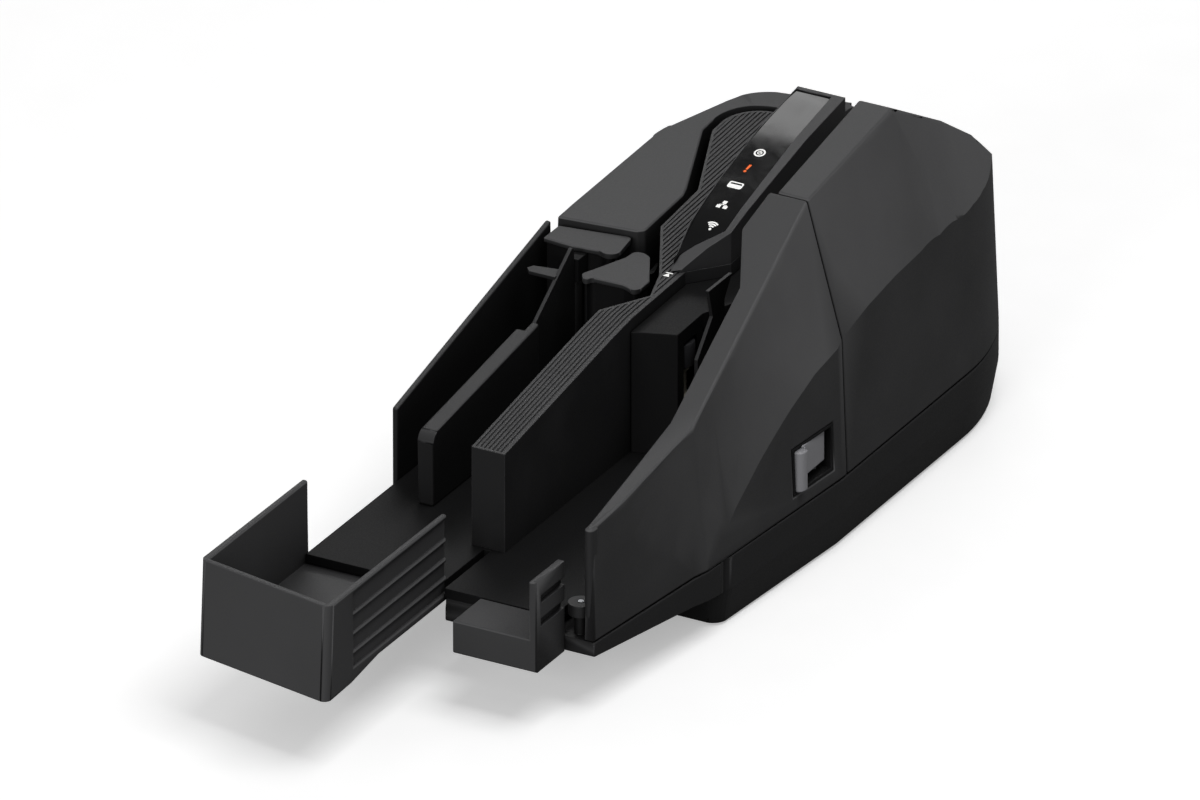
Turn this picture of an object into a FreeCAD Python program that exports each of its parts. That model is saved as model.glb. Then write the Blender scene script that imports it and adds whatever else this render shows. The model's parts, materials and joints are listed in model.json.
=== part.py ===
# Cheque scanner: a desktop machine that feeds cheques on edge from a hopper on its right,
# round a U-shaped path at the rear, and back into two pockets on its left.
# Frame: origin under the middle of the machine, +Z up, -Y the front, +X the hopper side.
import FreeCAD, Part
import math
import os
import re
from types import SimpleNamespace

os.makedirs("parts", exist_ok=True)
doc = FreeCAD.newDocument("ChequeScanner")
sheet = doc.addObject("Spreadsheet::Sheet", "Sizes")

# Driving sizes in millimetres, with angles in degrees
driving = [
    # whole machine
    ("halfWidth", 72.5, "half the overall width"),
    ("halfLength", 220, "half the overall length"),
    ("bodyHeight", 156.4, "feet to the peak of the rear cover"),
    ("seamLevel", 29.6, "joint between lower case and covers"),
    ("floorLevel", 37.3, "floor of paths, hopper and pockets"),
    ("wallThick", 2.4, "moulded wall"),
    ("draftAngle", 2.4, "draft of the covers' side walls"),
    ("seamGap", 0.6, "gap between neighbouring covers"),
    ("fitGap", 0.3, "clearance round a fitted piece"),
    ("runGap", 0.06, "radial clearance of a turning shaft"),
    ("overrun", 20, "how far a cutting shape runs past"),
    ("topClear", 0.5, "clearance above the deck for a swinging cover"),
    # lower case
    ("footHeight", 1.2, "height of the rubber feet below the case"),
    ("footRadius", 6, "rubber foot"),
    ("tubFloor", 2.8, "thickness of the case floor"),
    ("creaseLevel", 16, "crease where the case begins to taper in"),
    ("taperAngle", 10, "taper of the case below its crease"),
    ("lipLevel", 23.5, "underside of the front lip"),
    ("deckThick", 4, "deck plate"),
    ("bossRadius", 3.5, "screw boss under the deck"),
    ("screwRadius", 1.5, "case screw"),
    ("screwHead", 3, "radius of the case screw's head"),
    ("tubCorner", 9, "rounding of the case's front corners"),
    ("screwHeadDeep", 1.6, "height of the case screw's head"),
    # paths
    ("guideInset", 36, "from the side in to the island wall along the right path"),
    ("slotWidth", 4.7, "width of the path slots"),
    ("crossInset", 38, "from the rear in to the island wall along the rear path"),
    ("turnRadius", 32, "island wall at the right rear turn"),
    ("feedWallX", 14.5, "hopper wall at the pick roller"),
    # rollers and drive
    ("pickRadius", 7, "pick and feed rollers"),
    ("driveRadius", 8, "drive rollers"),
    ("pinchRadius", 6, "pinch rollers"),
    ("exitRadius", 4.6, "exit roller"),
    ("exitPinchRadius", 4.3, "exit pinch roller"),
    ("nipStand", 0.7, "how far a drive roller stands into the slot"),
    ("feedStand", 1.2, "how far the pick roller stands into the hopper"),
    ("nipGap", 0.3, "air between a drive roller and its pinch roller"),
    ("shaftRadius", 2, "roller shafts"),
    ("pinRadius", 1.2, "hinge pins and pinch shafts"),
    ("rubberThick", 2.2, "rubber on the rollers"),
    ("bandHeight", 10, "height of a rubber band on a roller"),
    ("lowBandLevel", 47, "underside of the lower bands"),
    ("highBandLevel", 72, "underside of the upper bands"),
    ("shaftLow", 21.6, "lower end of the roller shafts"),
    ("shaftTop", 86.4, "upper end of the roller shafts"),
    ("pulleyRadius", 7, "toothed pulleys"),
    ("pulleyHeight", 5.4, "height of a pulley"),
    ("beltGap", 0.1, "clearance of a belt on its pulley"),
    ("beltThick", 1.3, "belt"),
    ("beltWidth", 4, "belt"),
    ("motorRadius", 13.5, "motor cans"),
    ("motorHeight", 15.5, "motor cans"),
    ("motorShaftRadius", 1.5, "motor shafts"),
    ("bushRadius", 3.6, "outside of the shaft bushes"),
    ("bearingThick", 2, "upper bearing plate"),
    ("windowClear", 0.8, "clearance of a roller in its window"),
    # island
    ("panelThick", 2.2, "island skin"),
    ("bezelRim", 1.4, "wall of the display bezel"),
    ("rimRear", 5.3, "rim right of the window at its rear"),
    ("rimFront", 2.6, "rim right of the window at its front"),
    ("rimEnd", 1.8, "rim behind the window"),
    ("rimLeft", 0.4, "rim left of the window"),
    ("windowThick", 1.4, "display window"),
    ("windowSink", 0.25, "depth of the window below the bezel"),
    ("iconRadius", 2.1, "status lens"),
    ("iconPitch", 11.2, "spacing of the status lenses"),
    ("ribPitch", 1.8, "spacing of the fine ribs on the island"),
    ("ribGroove", 0.8, "width of a groove between ribs"),
    ("ribDeep", 0.45, "depth of a groove between ribs"),
    ("guideDrop", 5, "how far the dark inner guide's top lies below the panel"),
    # exit caps, pockets
    ("capThick", 2.1, "exit caps"),
    ("capLevel", 91.8, "underside of the exit caps"),
    ("capInset", 1, "how far an exit block stands back below its cap"),
    ("dividerThick", 6.8, "wall between the pockets"),
    ("trayWall", 2.5, "pocket tray walls"),
    ("trayBottom", 28.1, "underside of the pocket tray"),
    ("trayTop", 67.8, "rim of the pocket tray"),
    ("trayFloor", 1.9, "floor of the pocket tray"),
    ("trayTravel", 30, "how far the pocket tray pushes in"),
    ("trayYaw", 11.3, "angle of the tray's front face"),
    ("trayLean", 2.6, "how far the tray's front leans out at its foot"),
    ("trayRise", 3.1, "how far the tray's underside rises behind its front"),
    ("railDeep", 1.3, "depth of the recess in the tray's side"),
    ("trayCorner", 3, "rounding of the tray's front corners"),
    ("flapThick", 1.4, "pocket flap"),
    ("gateThick", 1.2, "sorting gate"),
    # hopper tray
    ("postThick", 3.4, "post of the hopper tray"),
    ("postTop", 62, "top of the post"),
    ("bracketLow", 23.5, "underside of the hopper tray"),
    ("railWidth", 6, "slide rail"),
    ("railHeight", 2, "slide rail"),
    ("railLength", 46, "slide rail inside the deck"),
    ("hopperTravel", 22, "how far the hopper tray pulls out"),
    # feed cover and its lever
    ("dishLowY", 6.3, "front edge of the lever window"),
    ("dishHighY", 34.8, "rear edge of the lever window"),
    ("dishLow", 36.2, "lower edge of the lever window"),
    ("dishTop", 56.2, "upper edge of the lever window"),
    ("dishDeep", 9, "depth of the lever dish"),
    ("leverProud", 2.6, "how far the lever grip stands out"),
    ("leverThick", 4.2, "lever grip"),
    ("leverWidth", 8, "lever grip along the cover"),
    # rear hinges
    ("barrelRadius", 2.6, "hinge barrels"),
    ("reliefRadius", 6.6, "room for a cover's edge to turn in"),
    ("lugHeight", 9, "hinge lugs"),
    ("pillarLow", -12, "left side of the rear pillar"),
    ("pillarHigh", 22, "right side of the rear pillar"),
    ("pillarDrop", 66.4, "from the top of the covers down to the top of the rear pillar"),
    # boards and sockets
    ("boardThick", 1.6, "circuit boards"),
    ("buttonTravel", 1.5, "travel of the power button"),
]
for row, (name, value, note) in enumerate(driving, start=1):
    sheet.set("A%d" % row, name)
    sheet.set("B%d" % row, str(value))
    sheet.set("C%d" % row, note)
    sheet.setAlias("B%d" % row, name)
doc.recompute()
sizeNames = {name for name, value, note in driving}
s = SimpleNamespace(**{name: float(sheet.get(name)) for name in sizeNames})
nodes = []


# Small helpers

def toSheet(text):
    # turns the names of driving sizes in an expression into references to the sheet
    return re.sub(r"[A-Za-z]\w*", lambda m: "Sizes." + m.group() if m.group() in sizeNames else m.group(), text)


def bind(obj, prop, size):
    # ties a property to the sheet, or to a number that this file has worked out
    obj.setExpression(prop, toSheet(size) if isinstance(size, str) else "%.5f" % size)


def node(label, obj):
    obj.Label = label
    nodes.append(obj)
    return obj


def plan(shares):
    # corners given as shares of half the width and half the length, with an optional radius
    return [(c[0] * s.halfWidth, c[1] * s.halfLength) + tuple(c[2:]) for c in shares]


def side(shares):
    # corners given as shares of half the length and of the height
    return [(c[0] * s.halfLength, c[1] * s.bodyHeight) for c in shares]


def along(table, at):
    # straight-line reading of a table of (place, value) pairs
    for (a, low), (b, high) in zip(table, table[1:]):
        if at <= b:
            return low + (high - low) * (at - a) / (b - a)
    return table[-1][1]


def inset(corners, distance):
    # the same outline, moved inwards by a distance (outwards if it is negative)
    count = len(corners)
    area = sum(corners[i][0] * corners[(i + 1) % count][1] - corners[(i + 1) % count][0] * corners[i][1]
               for i in range(count))
    turn = 1 if area > 0 else -1
    moved = []
    for i in range(count):
        a, p, b = corners[i - 1], corners[i], corners[(i + 1) % count]
        u = FreeCAD.Vector(p[0] - a[0], p[1] - a[1], 0).normalize()
        v = FreeCAD.Vector(b[0] - p[0], b[1] - p[1], 0).normalize()
        nu = FreeCAD.Vector(-u.y, u.x, 0) * turn
        nv = FreeCAD.Vector(-v.y, v.x, 0) * turn
        mid = nu + nv
        mid = mid * (distance * 2 / mid.dot(mid))
        corner = (p[0] + mid.x, p[1] + mid.y)
        if len(p) > 2:
            convex = (u.x * v.y - u.y * v.x) * turn > 0
            radius = p[2] - distance if convex else p[2] + distance
            if radius > 0:
                corner += (radius,)
        moved.append(corner)
    return moved


def edgesOf(corners):
    # straight sides joined by tangent arcs at the corners that name a radius
    count = len(corners)
    points = [FreeCAD.Vector(c[0], c[1], 0) for c in corners]
    halves, reaches = [], []
    for i in range(count):
        half = (points[i - 1] - points[i]).getAngle(points[(i + 1) % count] - points[i]) / 2
        radius = corners[i][2] if len(corners[i]) > 2 and half < math.radians(89.5) else 0
        halves.append(half)
        reaches.append(max(radius, 0) / math.tan(half))
    for i in range(count):
        following = (i + 1) % count
        room = points[i].distanceToPoint(points[following])
        wanted = reaches[i] + reaches[following]
        if wanted > room:
            reaches[i] *= room / wanted * 0.9999
            reaches[following] *= room / wanted * 0.9999
    edges, previous = [], None
    for i in list(range(count)) + [0]:
        p = points[i]
        u = (points[i - 1] - p).normalize()
        v = (points[(i + 1) % count] - p).normalize()
        start, end = p + u * reaches[i], p + v * reaches[i]
        if previous is not None and previous.distanceToPoint(start) > 0.001:
            edges.append(Part.LineSegment(previous, start))
        elif previous is not None:
            start = previous
        if len(edges) + 1 and reaches[i] > 0.001 and not (i == 0 and previous is not None):
            radius = reaches[i] * math.tan(halves[i])
            axis = (u + v).normalize()
            middle = p + axis * (radius / math.sin(halves[i]) - radius)
            edges.append(Part.Arc(start, middle, end))
        previous = end
    return edges


planes = {"z": "XY_Plane", "y": "XZ_Plane", "x": "YZ_Plane"}


def prism(name, direction, outlines, start, length, taper=None):
    # a body with one sketch, padded along +X, +Y or +Z from its start; taper leans the walls inwards
    body = doc.addObject("PartDesign::Body", name)
    sketch = body.newObject("Sketcher::SketchObject", name + "Outline")
    support = next(f for f in body.Origin.OriginFeatures if f.Role == planes[direction])
    sketch.AttachmentSupport = [(support, "")]
    sketch.MapMode = "FlatFace"
    if direction == "y":
        start = "-(%s) - (%s)" % (start, length)
    bind(sketch, "AttachmentOffset.Base.z", str(start))
    for corners in outlines:
        for edge in edgesOf(corners):
            sketch.addGeometry(edge, False)
    pad = body.newObject("PartDesign::Pad", name + "Pad")
    pad.Profile = sketch
    bind(pad, "Length", str(length))
    if taper:
        bind(pad, "TaperAngle", taper)
    body.Tip = pad
    return body


def box(name, low, size):
    shape = doc.addObject("Part::Box", name)
    for prop, value in zip(("Placement.Base.x", "Placement.Base.y", "Placement.Base.z"), low):
        bind(shape, prop, value)
    for prop, value in zip(("Length", "Width", "Height"), size):
        bind(shape, prop, value)
    return shape


def rod(name, centre, low, radius, height):
    shape = doc.addObject("Part::Cylinder", name)
    bind(shape, "Placement.Base.x", centre[0])
    bind(shape, "Placement.Base.y", centre[1])
    bind(shape, "Placement.Base.z", low)
    bind(shape, "Radius", radius)
    bind(shape, "Height", height)
    return shape


def join(name, shapes):
    fuse = doc.addObject("Part::MultiFuse", name)
    fuse.Shapes = shapes
    fuse.Refine = True
    return fuse


def meet(name, shapes):
    common = doc.addObject("Part::MultiCommon", name)
    common.Shapes = shapes
    return common


def cut(name, base, tools):
    tool = tools[0] if len(tools) == 1 else join(name + "Tools", tools)
    shape = doc.addObject("Part::Cut", name)
    shape.Base = base
    shape.Tool = tool
    return shape


def group(name, shapes):
    compound = doc.addObject("Part::Compound", name)
    compound.Links = shapes
    return compound


# Outlines that several pieces share

rearArcRadius = 100 / 72.5 * s.halfWidth
bodyShares = [(0.905, -0.2455), (1.0, 0.1827), (0.986, 0.6536), (0.986, 0.8191), (0.526, 1.0), (-0.028, 1.0),
              (-0.745, 0.9023), (-0.982, 0.6818), (-1.0, 0.3727)]
bodyCornerShares = {3: 1.379, 4: 0.193, 5: 0.276, 6: 0.303, 7: 0.552}
bodySide = [c + ((bodyCornerShares[i] * s.halfWidth,) if i in bodyCornerShares else ())
            for i, c in enumerate(plan(bodyShares))]
tubFrontShare = -0.2073
noseShares = [(-1.0, -0.5855), (0.785, -0.5855), (0.881, -0.2845)]
nose = plan(noseShares)
bodyOutline = nose + bodySide
tubFront = tubFrontShare * s.halfLength
tubRight = along([(c[1], c[0]) for c in bodySide[:2]], tubFront)
tubOutline = [(-s.halfWidth, tubFront, s.tubCorner), (tubRight, tubFront, s.tubCorner)] + bodySide[1:]

guideX = s.halfWidth - s.guideInset
crossY = s.halfLength - s.crossInset
slotX = guideX + s.slotWidth
crossOuter = crossY + s.slotWidth
returnShares = [(-0.502, 0.335), (-0.469, 0.3455), (-0.476, 0.4873), (-0.499, 0.5145), (-0.737, 0.7159)]
returnInner = plan(returnShares)
returnTurn = (-0.749 * s.halfWidth, crossOuter, 0.276 * s.halfWidth)
coverFrontShare = -0.5855
seamY = 0.2018 * s.halfLength
trayRightX = -0.124 * s.halfWidth
hopperFrontY = coverFrontShare * s.halfLength

deckOutline = [(-s.halfWidth + s.trayWall + s.fitGap, hopperFrontY),
               (trayRightX - s.trayWall - s.fitGap, hopperFrontY),
               (trayRightX - s.trayWall - s.fitGap, -0.42 * s.halfLength),
               (trayRightX + s.fitGap, -0.42 * s.halfLength),
               (trayRightX + s.fitGap, hopperFrontY)]
deckRight = slotX + s.wallThick + s.fitGap
deckOutline += [(deckRight - 2 * s.wallThick, hopperFrontY), (deckRight - 2 * s.wallThick, -0.51 * s.halfLength),
                (deckRight, -0.51 * s.halfLength),
                (deckRight, crossOuter + s.wallThick, s.turnRadius + s.slotWidth),
                (s.pillarHigh, crossOuter + s.wallThick), (s.pillarHigh, 0.982 * s.halfLength),
                (s.pillarLow, 0.964 * s.halfLength), (s.pillarLow, crossOuter + s.wallThick),
                (returnTurn[0] - s.wallThick, crossOuter + s.wallThick, returnTurn[2] + s.wallThick)]
deckOutline += [(x - s.wallThick, y) for x, y in reversed(returnInner[1:])]
deckOutline += [(returnInner[1][0] - s.wallThick, 0.335 * s.halfLength),
                (-s.halfWidth + s.trayWall + s.fitGap, 0.335 * s.halfLength)]

islandShares = [(-0.247, -0.4141), (-0.046, -0.4141), (-0.046, 0.2391), (0.125, 0.3018)]
islandLeftShares = [(-0.684, 0.7182), (-0.43, 0.5136), (-0.412, 0.3668), (-0.152, 0.2055), (-0.083, 0.1323),
                    (-0.247, 0.0445)]
ridgeRightX = 0.125 * s.halfWidth
islandOutline = plan(islandShares) + [(ridgeRightX, crossY), (-0.69 * s.halfWidth, crossY, 0.22 * s.halfWidth)]
islandOutline += [c + (0.11 * s.halfWidth,) if i < 2 else c for i, c in enumerate(plan(islandLeftShares))]
feedWallStart = 0.1545 * s.halfLength
feedWallEnd = 0.3545 * s.halfLength
guideOutline = [(-0.046 * s.halfWidth + s.seamGap, 0.0364 * s.halfLength), (s.feedWallX, 0.0636 * s.halfLength),
                (s.feedWallX, feedWallStart), (guideX, feedWallEnd), (guideX, crossY, s.turnRadius),
                (ridgeRightX + s.seamGap, crossY), (ridgeRightX + s.seamGap, 0.3 * s.halfLength),
                (-0.046 * s.halfWidth + s.seamGap, 0.2371 * s.halfLength)]

# Places of the shafts

feedLean = math.atan2(guideX - s.feedWallX, feedWallEnd - feedWallStart)
feedNipX = s.feedWallX + 0.1 * (guideX - s.feedWallX)
feedNipY = feedWallStart + 0.1 * (feedWallEnd - feedWallStart)


def acrossFeed(distance):
    # a point off the slanted feed wall, square to it, towards the hopper if positive
    return (feedNipX + distance * math.cos(feedLean), feedNipY - distance * math.sin(feedLean))


pickAt = (s.feedWallX - s.pickRadius + s.feedStand, 0.109 * s.halfLength)
feedAt = acrossFeed(s.feedStand - s.pickRadius)
retardAt = acrossFeed(s.feedStand + s.nipGap + s.pinchRadius)
rightAt = (guideX - s.driveRadius + s.nipStand, 0.5 * s.halfLength)
rearAt = (0.055 * s.halfWidth, crossY - s.driveRadius + s.nipStand)
leftAt = (-0.421 * s.halfWidth + s.driveRadius - s.nipStand, 0.432 * s.halfLength)
exitAt = (-0.389 * s.halfWidth, 0.259 * s.halfLength)
pinchReach = s.nipGap + s.driveRadius + s.pinchRadius
rightPinchAt = (rightAt[0] + pinchReach, rightAt[1])
rearPinchAt = (rearAt[0], rearAt[1] + pinchReach)
leftPinchAt = (leftAt[0] - pinchReach, leftAt[1])
exitPinchAt = (exitAt[0] - s.exitRadius - s.exitPinchRadius - s.nipGap, exitAt[1] + 1.5 * s.nipStand)
transportMotorAt = (0.166 * s.halfWidth, 0.282 * s.halfLength)
feedMotorAt = (0.441 * s.halfWidth, 0.136 * s.halfLength)
gateAt = (-0.366 * s.halfWidth, 0.302 * s.halfLength)


# Forms of the covers

def sideX(y):
    # where the case side lies at the seam
    if y <= 0.6536 * s.halfLength:
        table = [(-0.5855, 0.785), (-0.2455, 0.905), (0.1827, 1.0), (0.6536, 0.986)]
        return along([(a * s.halfLength, b * s.halfWidth) for a, b in table], y)
    reach = min(y - 0.6536 * s.halfLength, 0.9 * rearArcRadius)
    return 0.986 * s.halfWidth - rearArcRadius + math.sqrt(rearArcRadius ** 2 - reach ** 2)


# the sharp crease climbs the side wall from the seam, fast at first, and then runs level
creaseStartShare = -0.2509
creaseEndShare = 0.6414
creasePower = 2.75
creaseTopShare = 0.6253
peakShare = 0.4995
topEdgeShares = [(-0.64, 0.772, 0.4800), (-0.5855, 0.772, 0.4827), (-0.2509, 0.815, 0.5786), (0.2023, 0.752, 0.9182),
                 (0.4995, 0.77, 0.9949), (0.6991, 0.753, 0.8376), (0.8036, 0.76, 0.7385), (0.8655, 0.786, 0.649),
                 (0.93, 0.786, 0.598), (1.0, 0.786, 0.569), (1.06, 0.786, 0.55)]


def creaseLevel(y):
    start = creaseStartShare * s.halfLength
    end = creaseEndShare * s.halfLength
    top = creaseTopShare * s.bodyHeight
    if y <= start:
        return s.seamLevel
    if y >= end:
        return top + (y - end) * 0.06
    return top - (top - s.seamLevel) * ((end - y) / (end - start)) ** creasePower


def coverSection(y, inwards):
    # section of the right covers across the machine, from inside to far outside
    edge = along([(a * s.halfLength, b * s.halfWidth) for a, b, c in topEdgeShares], y) - inwards
    top = along([(a * s.halfLength, c * s.bodyHeight) for a, b, c in topEdgeShares], y) - inwards
    level = creaseLevel(y)
    lean = math.tan(math.radians(s.draftAngle))
    creaseX = sideX(y) - lean * (level - s.seamLevel) - inwards * 1.15
    low = s.seamLevel - s.wallThick * 4
    far = s.halfWidth * 1.16
    near = -s.halfWidth * 0.2
    slope = (top - level) / min(edge - creaseX, -0.5)
    if y > 0.865 * s.halfLength:
        slope = 0
    farLevel = top + slope * (far - edge)
    if farLevel < low + s.wallThick:
        far = edge + (low + s.wallThick - top) / slope
        farLevel = low + s.wallThick
    # the facet is folded along a line that falls from the peak to the crease
    fold = min(max((y / s.halfLength - peakShare) / (creaseEndShare - peakShare), 0.04), 0.96)
    foldX = edge + fold * max(creaseX - edge, 1)
    foldLevel = top + slope * (foldX - edge)
    return [(near, low), (far, low), (far, farLevel), (foldX, foldLevel), (edge, top), (near, top)]


stationShares = [-0.62, -0.2509, -0.18, -0.11, -0.04, 0.03, 0.11, 0.2023, 0.3, 0.4, 0.4995, 0.57, 0.64, 0.6991,
                 0.75, 0.8036, 0.8655, 0.93, 1.04]


def topForm(name, inwards):
    # ruled solid through the sections, roof and inclined facet included
    sections = []
    for i, share in enumerate(stationShares):
        y = share * s.halfLength
        section = doc.addObject("Sketcher::SketchObject", "%sSection%02d" % (name, i))
        section.Placement = FreeCAD.Placement(FreeCAD.Vector(0, y, 0), FreeCAD.Rotation(FreeCAD.Vector(1, 0, 0), 90))
        for edge in edgesOf(coverSection(y, inwards)):
            section.addGeometry(edge, False)
        sections.append(section)
    loft = doc.addObject("Part::Loft", name)
    loft.Sections = sections
    loft.Solid = True
    loft.Ruled = True
    return loft


coverLow = s.seamLevel + s.seamGap
wallForm = prism("WallForm", "z", [bodyOutline], "seamLevel + seamGap", "bodyHeight", "-draftAngle")
wallFormInner = prism("WallFormInner", "z", [inset(bodyOutline, s.wallThick)], "seamLevel + seamGap", "bodyHeight",
                      "-draftAngle")
roofForm = topForm("RoofForm", 0)
roofFormInner = topForm("RoofFormInner", s.wallThick)
deckTrim = prism("DeckTrim", "z", [inset(deckOutline, -s.fitGap)], "seamLevel - overrun", "floorLevel + topClear - seamLevel + overrun")


def coverShell(name, region, roof, roofInner):
    # a cover with its outer walls, its path wall, its roof and its ends, open below
    outer = meet(name + "Outer", [prism(name + "Region", "z", [region], "seamLevel + seamGap", "bodyHeight"), wallForm, roof])
    hollow = prism(name + "RegionInner", "z", [inset(region, s.wallThick)], "seamLevel + seamGap", "bodyHeight")
    inner = meet(name + "Inner", [hollow, wallFormInner, roofInner])
    return outer, inner


# Lower case

tubUpper = prism("TubUpper", "z", [tubOutline], "creaseLevel", "seamLevel - creaseLevel")
tubLower = prism("TubLower", "z", [tubOutline], "creaseLevel", "creaseLevel - footHeight", "-taperAngle")
tubLower.Tip.Reversed = True
lipProfile = [(hopperFrontY, s.seamLevel), (hopperFrontY, s.lipLevel), (tubFront + s.wallThick, s.creaseLevel),
              (tubFront + s.wallThick, s.seamLevel)]
lipRegion = prism("LipRegion", "z", [[(trayRightX + s.fitGap, hopperFrontY), nose[1], nose[2], bodySide[0], tubOutline[1],
                                      (tubRight, tubFront + s.tubCorner),
                                      (trayRightX + s.fitGap, tubFront + s.tubCorner)]],
                  "creaseLevel", "seamLevel - creaseLevel")
lip = meet("Lip", [lipRegion, prism("LipSide", "x", [lipProfile], "-halfWidth", "2 * halfWidth")])
feedHingeAt = (0.655 * s.halfWidth, -0.5577 * s.halfLength)
feedPinBoss = rod("FeedPinBoss", feedHingeAt, "seamLevel - wallThick / 2", "barrelRadius",
                  "floorLevel - seamLevel + wallThick / 2")
feedPinSeat = rod("FeedPinSeat", feedHingeAt, "seamLevel", "pinRadius", "overrun")
lipPlinth = box("LipPlinth", [trayRightX + 2 * s.fitGap, hopperFrontY, "seamLevel - wallThick"],
                [deckRight - 3 * s.wallThick - trayRightX, tubFront + 2 * s.wallThick - hopperFrontY,
                 "floorLevel - deckThick - seamLevel + wallThick"])
tubHollow = prism("TubHollow", "z", [inset(tubOutline, s.wallThick)], "creaseLevel", "seamLevel - creaseLevel + overrun")
tubHollowLow = prism("TubHollowLow", "z", [inset(tubOutline, s.wallThick)], "creaseLevel",
                     "creaseLevel - footHeight - tubFloor", "-taperAngle")
tubHollowLow.Tip.Reversed = True
bossPlaces = plan([(-0.83, -0.165), (0.53, -0.165), (-0.86, 0.236), (0.566, 0.364), (-0.69, 0.682), (0.552, 0.682)])
bosses = [rod("Boss%d" % i, at, "footHeight + tubFloor / 2", "bossRadius",
              "floorLevel - deckThick - footHeight - tubFloor / 2") for i, at in enumerate(bossPlaces)]
screwHoles = [rod("ScrewHole%d" % i, at, "footHeight - overrun", "screwRadius", "overrun + floorLevel - deckThick - wallThick")
              for i, at in enumerate(bossPlaces)]
headHoles = [rod("HeadHole%d" % i, at, "footHeight - overrun", "screwHead + fitGap", "overrun + screwHeadDeep + fitGap")
             for i, at in enumerate(bossPlaces)]
shell = cut("TubShell", join("TubOuter", [tubUpper, tubLower]), [tubHollow, tubHollowLow])
node("lower_case", cut("LowerCase", join("TubWithBosses", [shell, lip, lipPlinth, feedPinBoss] + bosses),
                       screwHoles + headHoles + [feedPinSeat]))
screws = []
for i, at in enumerate(bossPlaces):
    shank = rod("ScrewShank%d" % i, at, "footHeight + fitGap", "screwRadius",
                "floorLevel - deckThick - footHeight - fitGap - wallThick")
    head = rod("ScrewHead%d" % i, at, "footHeight + fitGap", "screwHead", "screwHeadDeep")
    screws.append(join("CaseScrew%d" % i, [shank, head]))
node("case_screws", group("CaseScrews", screws))
feetPlaces = plan([(-0.76, -0.12), (0.76, -0.12), (-0.7, 0.6), (0.72, 0.6)])
node("rubber_feet", group("RubberFeet", [rod("Foot%d" % i, at, 0, "footRadius", "footHeight")
                                         for i, at in enumerate(feetPlaces)]))

# Deck: the floor that everything stands on

rearHingeAt = (s.pillarHigh + s.seamGap / 2, 0.975 * s.halfLength)
returnHingeAt = (s.pillarLow - s.seamGap / 2, 0.956 * s.halfLength)
rollerPlaces = {"Pick": pickAt, "Feed": feedAt, "Right": rightAt, "Rear": rearAt, "Left": leftAt, "Exit": exitAt}
motorPlaces = {"Transport": transportMotorAt, "FeedDrive": feedMotorAt}
deckPlate = prism("DeckPlate", "z", [deckOutline], "floorLevel - deckThick", "deckThick")
deckHoles = [rod("Deck%sHole" % name, at, "floorLevel - overrun", "bushRadius", "2 * overrun")
             for name, at in rollerPlaces.items()]
deckHoles.append(rod("DeckGateHole", gateAt, "floorLevel - overrun", "pinRadius + runGap", "2 * overrun"))
deckHoles += [rod("DeckRelief%d" % i, at, "floorLevel - overrun", "reliefRadius", "2 * overrun")
              for i, at in enumerate((rearHingeAt, returnHingeAt))]
railPlaces = [0.14 * s.halfWidth, 0.44 * s.halfWidth]
for i, x in enumerate(railPlaces):
    deckHoles.append(box("RailChannel%d" % i, [x - s.fitGap, "%.4f - overrun" % hopperFrontY,
                                                "floorLevel - deckThick - overrun"],
                         ["railWidth + 2 * fitGap", "railLength + fitGap + overrun",
                          "overrun + railHeight + fitGap"]))
node("deck", cut("Deck", deckPlate, deckHoles))
bushes = []
for name, at in rollerPlaces.items():
    ring = rod("Bush%sOuter" % name, at, "floorLevel - deckThick", "bushRadius", "deckThick")
    bore = rod("Bush%sBore" % name, at, "floorLevel - overrun", "shaftRadius + runGap", "2 * overrun")
    bushes.append(cut("Bush" + name, ring, [bore]))
node("shaft_bushes", group("ShaftBushes", bushes))

# Island: ribbed ramp and panel, and the dark guide shell on its right

islandTopShares = [(-0.4141, 0.507), (-0.0255, 0.5908), (0.0445, 0.6029), (0.3136, 0.6157), (0.8273, 0.6522)]
islandTop = side(islandTopShares)


def underTop(name, drop, thick, line=islandTop):
    # everything below a top line, lowered by a drop
    corners = [(y, z - drop) for y, z in line]
    for end, nextTo, way in ((0, 1, -1), (-1, -2, 1)):
        (y0, z0), (y1, z1) = corners[end], corners[nextTo]
        corners[end] = (y0 + way * s.overrun, z0 + way * s.overrun * (z1 - z0) / (y1 - y0))
    corners += [(corners[-1][0], s.floorLevel - thick), (corners[0][0], s.floorLevel - thick)]
    return prism(name, "x", [corners], "-halfWidth", "2 * halfWidth")


def windowTool(name, at, radius):
    return rod(name, at, "lowBandLevel - 2 * windowClear", radius + s.windowClear,
               "highBandLevel + bandHeight - lowBandLevel + 4 * windowClear")


islandOuter = meet("IslandOuter", [prism("IslandPlan", "z", [islandOutline], "floorLevel", "bodyHeight"),
                                   underTop("IslandTop", 0, 0)])
rampHollow = islandOutline[:2] + [(islandOutline[1][0], 0.064 * s.halfLength), (islandOutline[0][0], 0.022 * s.halfLength)]
panelHollow = islandOutline[3:8] + [islandOutline[8], (-0.276 * s.halfWidth, 0.264 * s.halfLength)]
islandHollows = [prism("RampHollow", "z", [inset(rampHollow, s.panelThick)], "floorLevel - overrun", "bodyHeight"),
                 prism("PanelHollow", "z", [inset(panelHollow, s.panelThick)], "floorLevel - overrun", "bodyHeight")]
islandInner = meet("IslandInner", [join("IslandHollows", islandHollows), underTop("IslandTopInner", s.panelThick, s.overrun)])
ribLow = min(c[0] for c in islandOutline)
ribCount = int((max(c[0] for c in islandOutline) - ribLow) / s.ribPitch)
combs = [[(x, -s.halfLength), (x + s.ribGroove, -s.halfLength), (x + s.ribGroove, s.halfLength), (x, s.halfLength)]
         for x in (ribLow + (i + 0.5) * s.ribPitch for i in range(ribCount))]
ribBand = underTop("RibBand", -s.overrun, s.overrun)
ribFloor = underTop("RibFloor", s.ribDeep, s.overrun)
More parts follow.
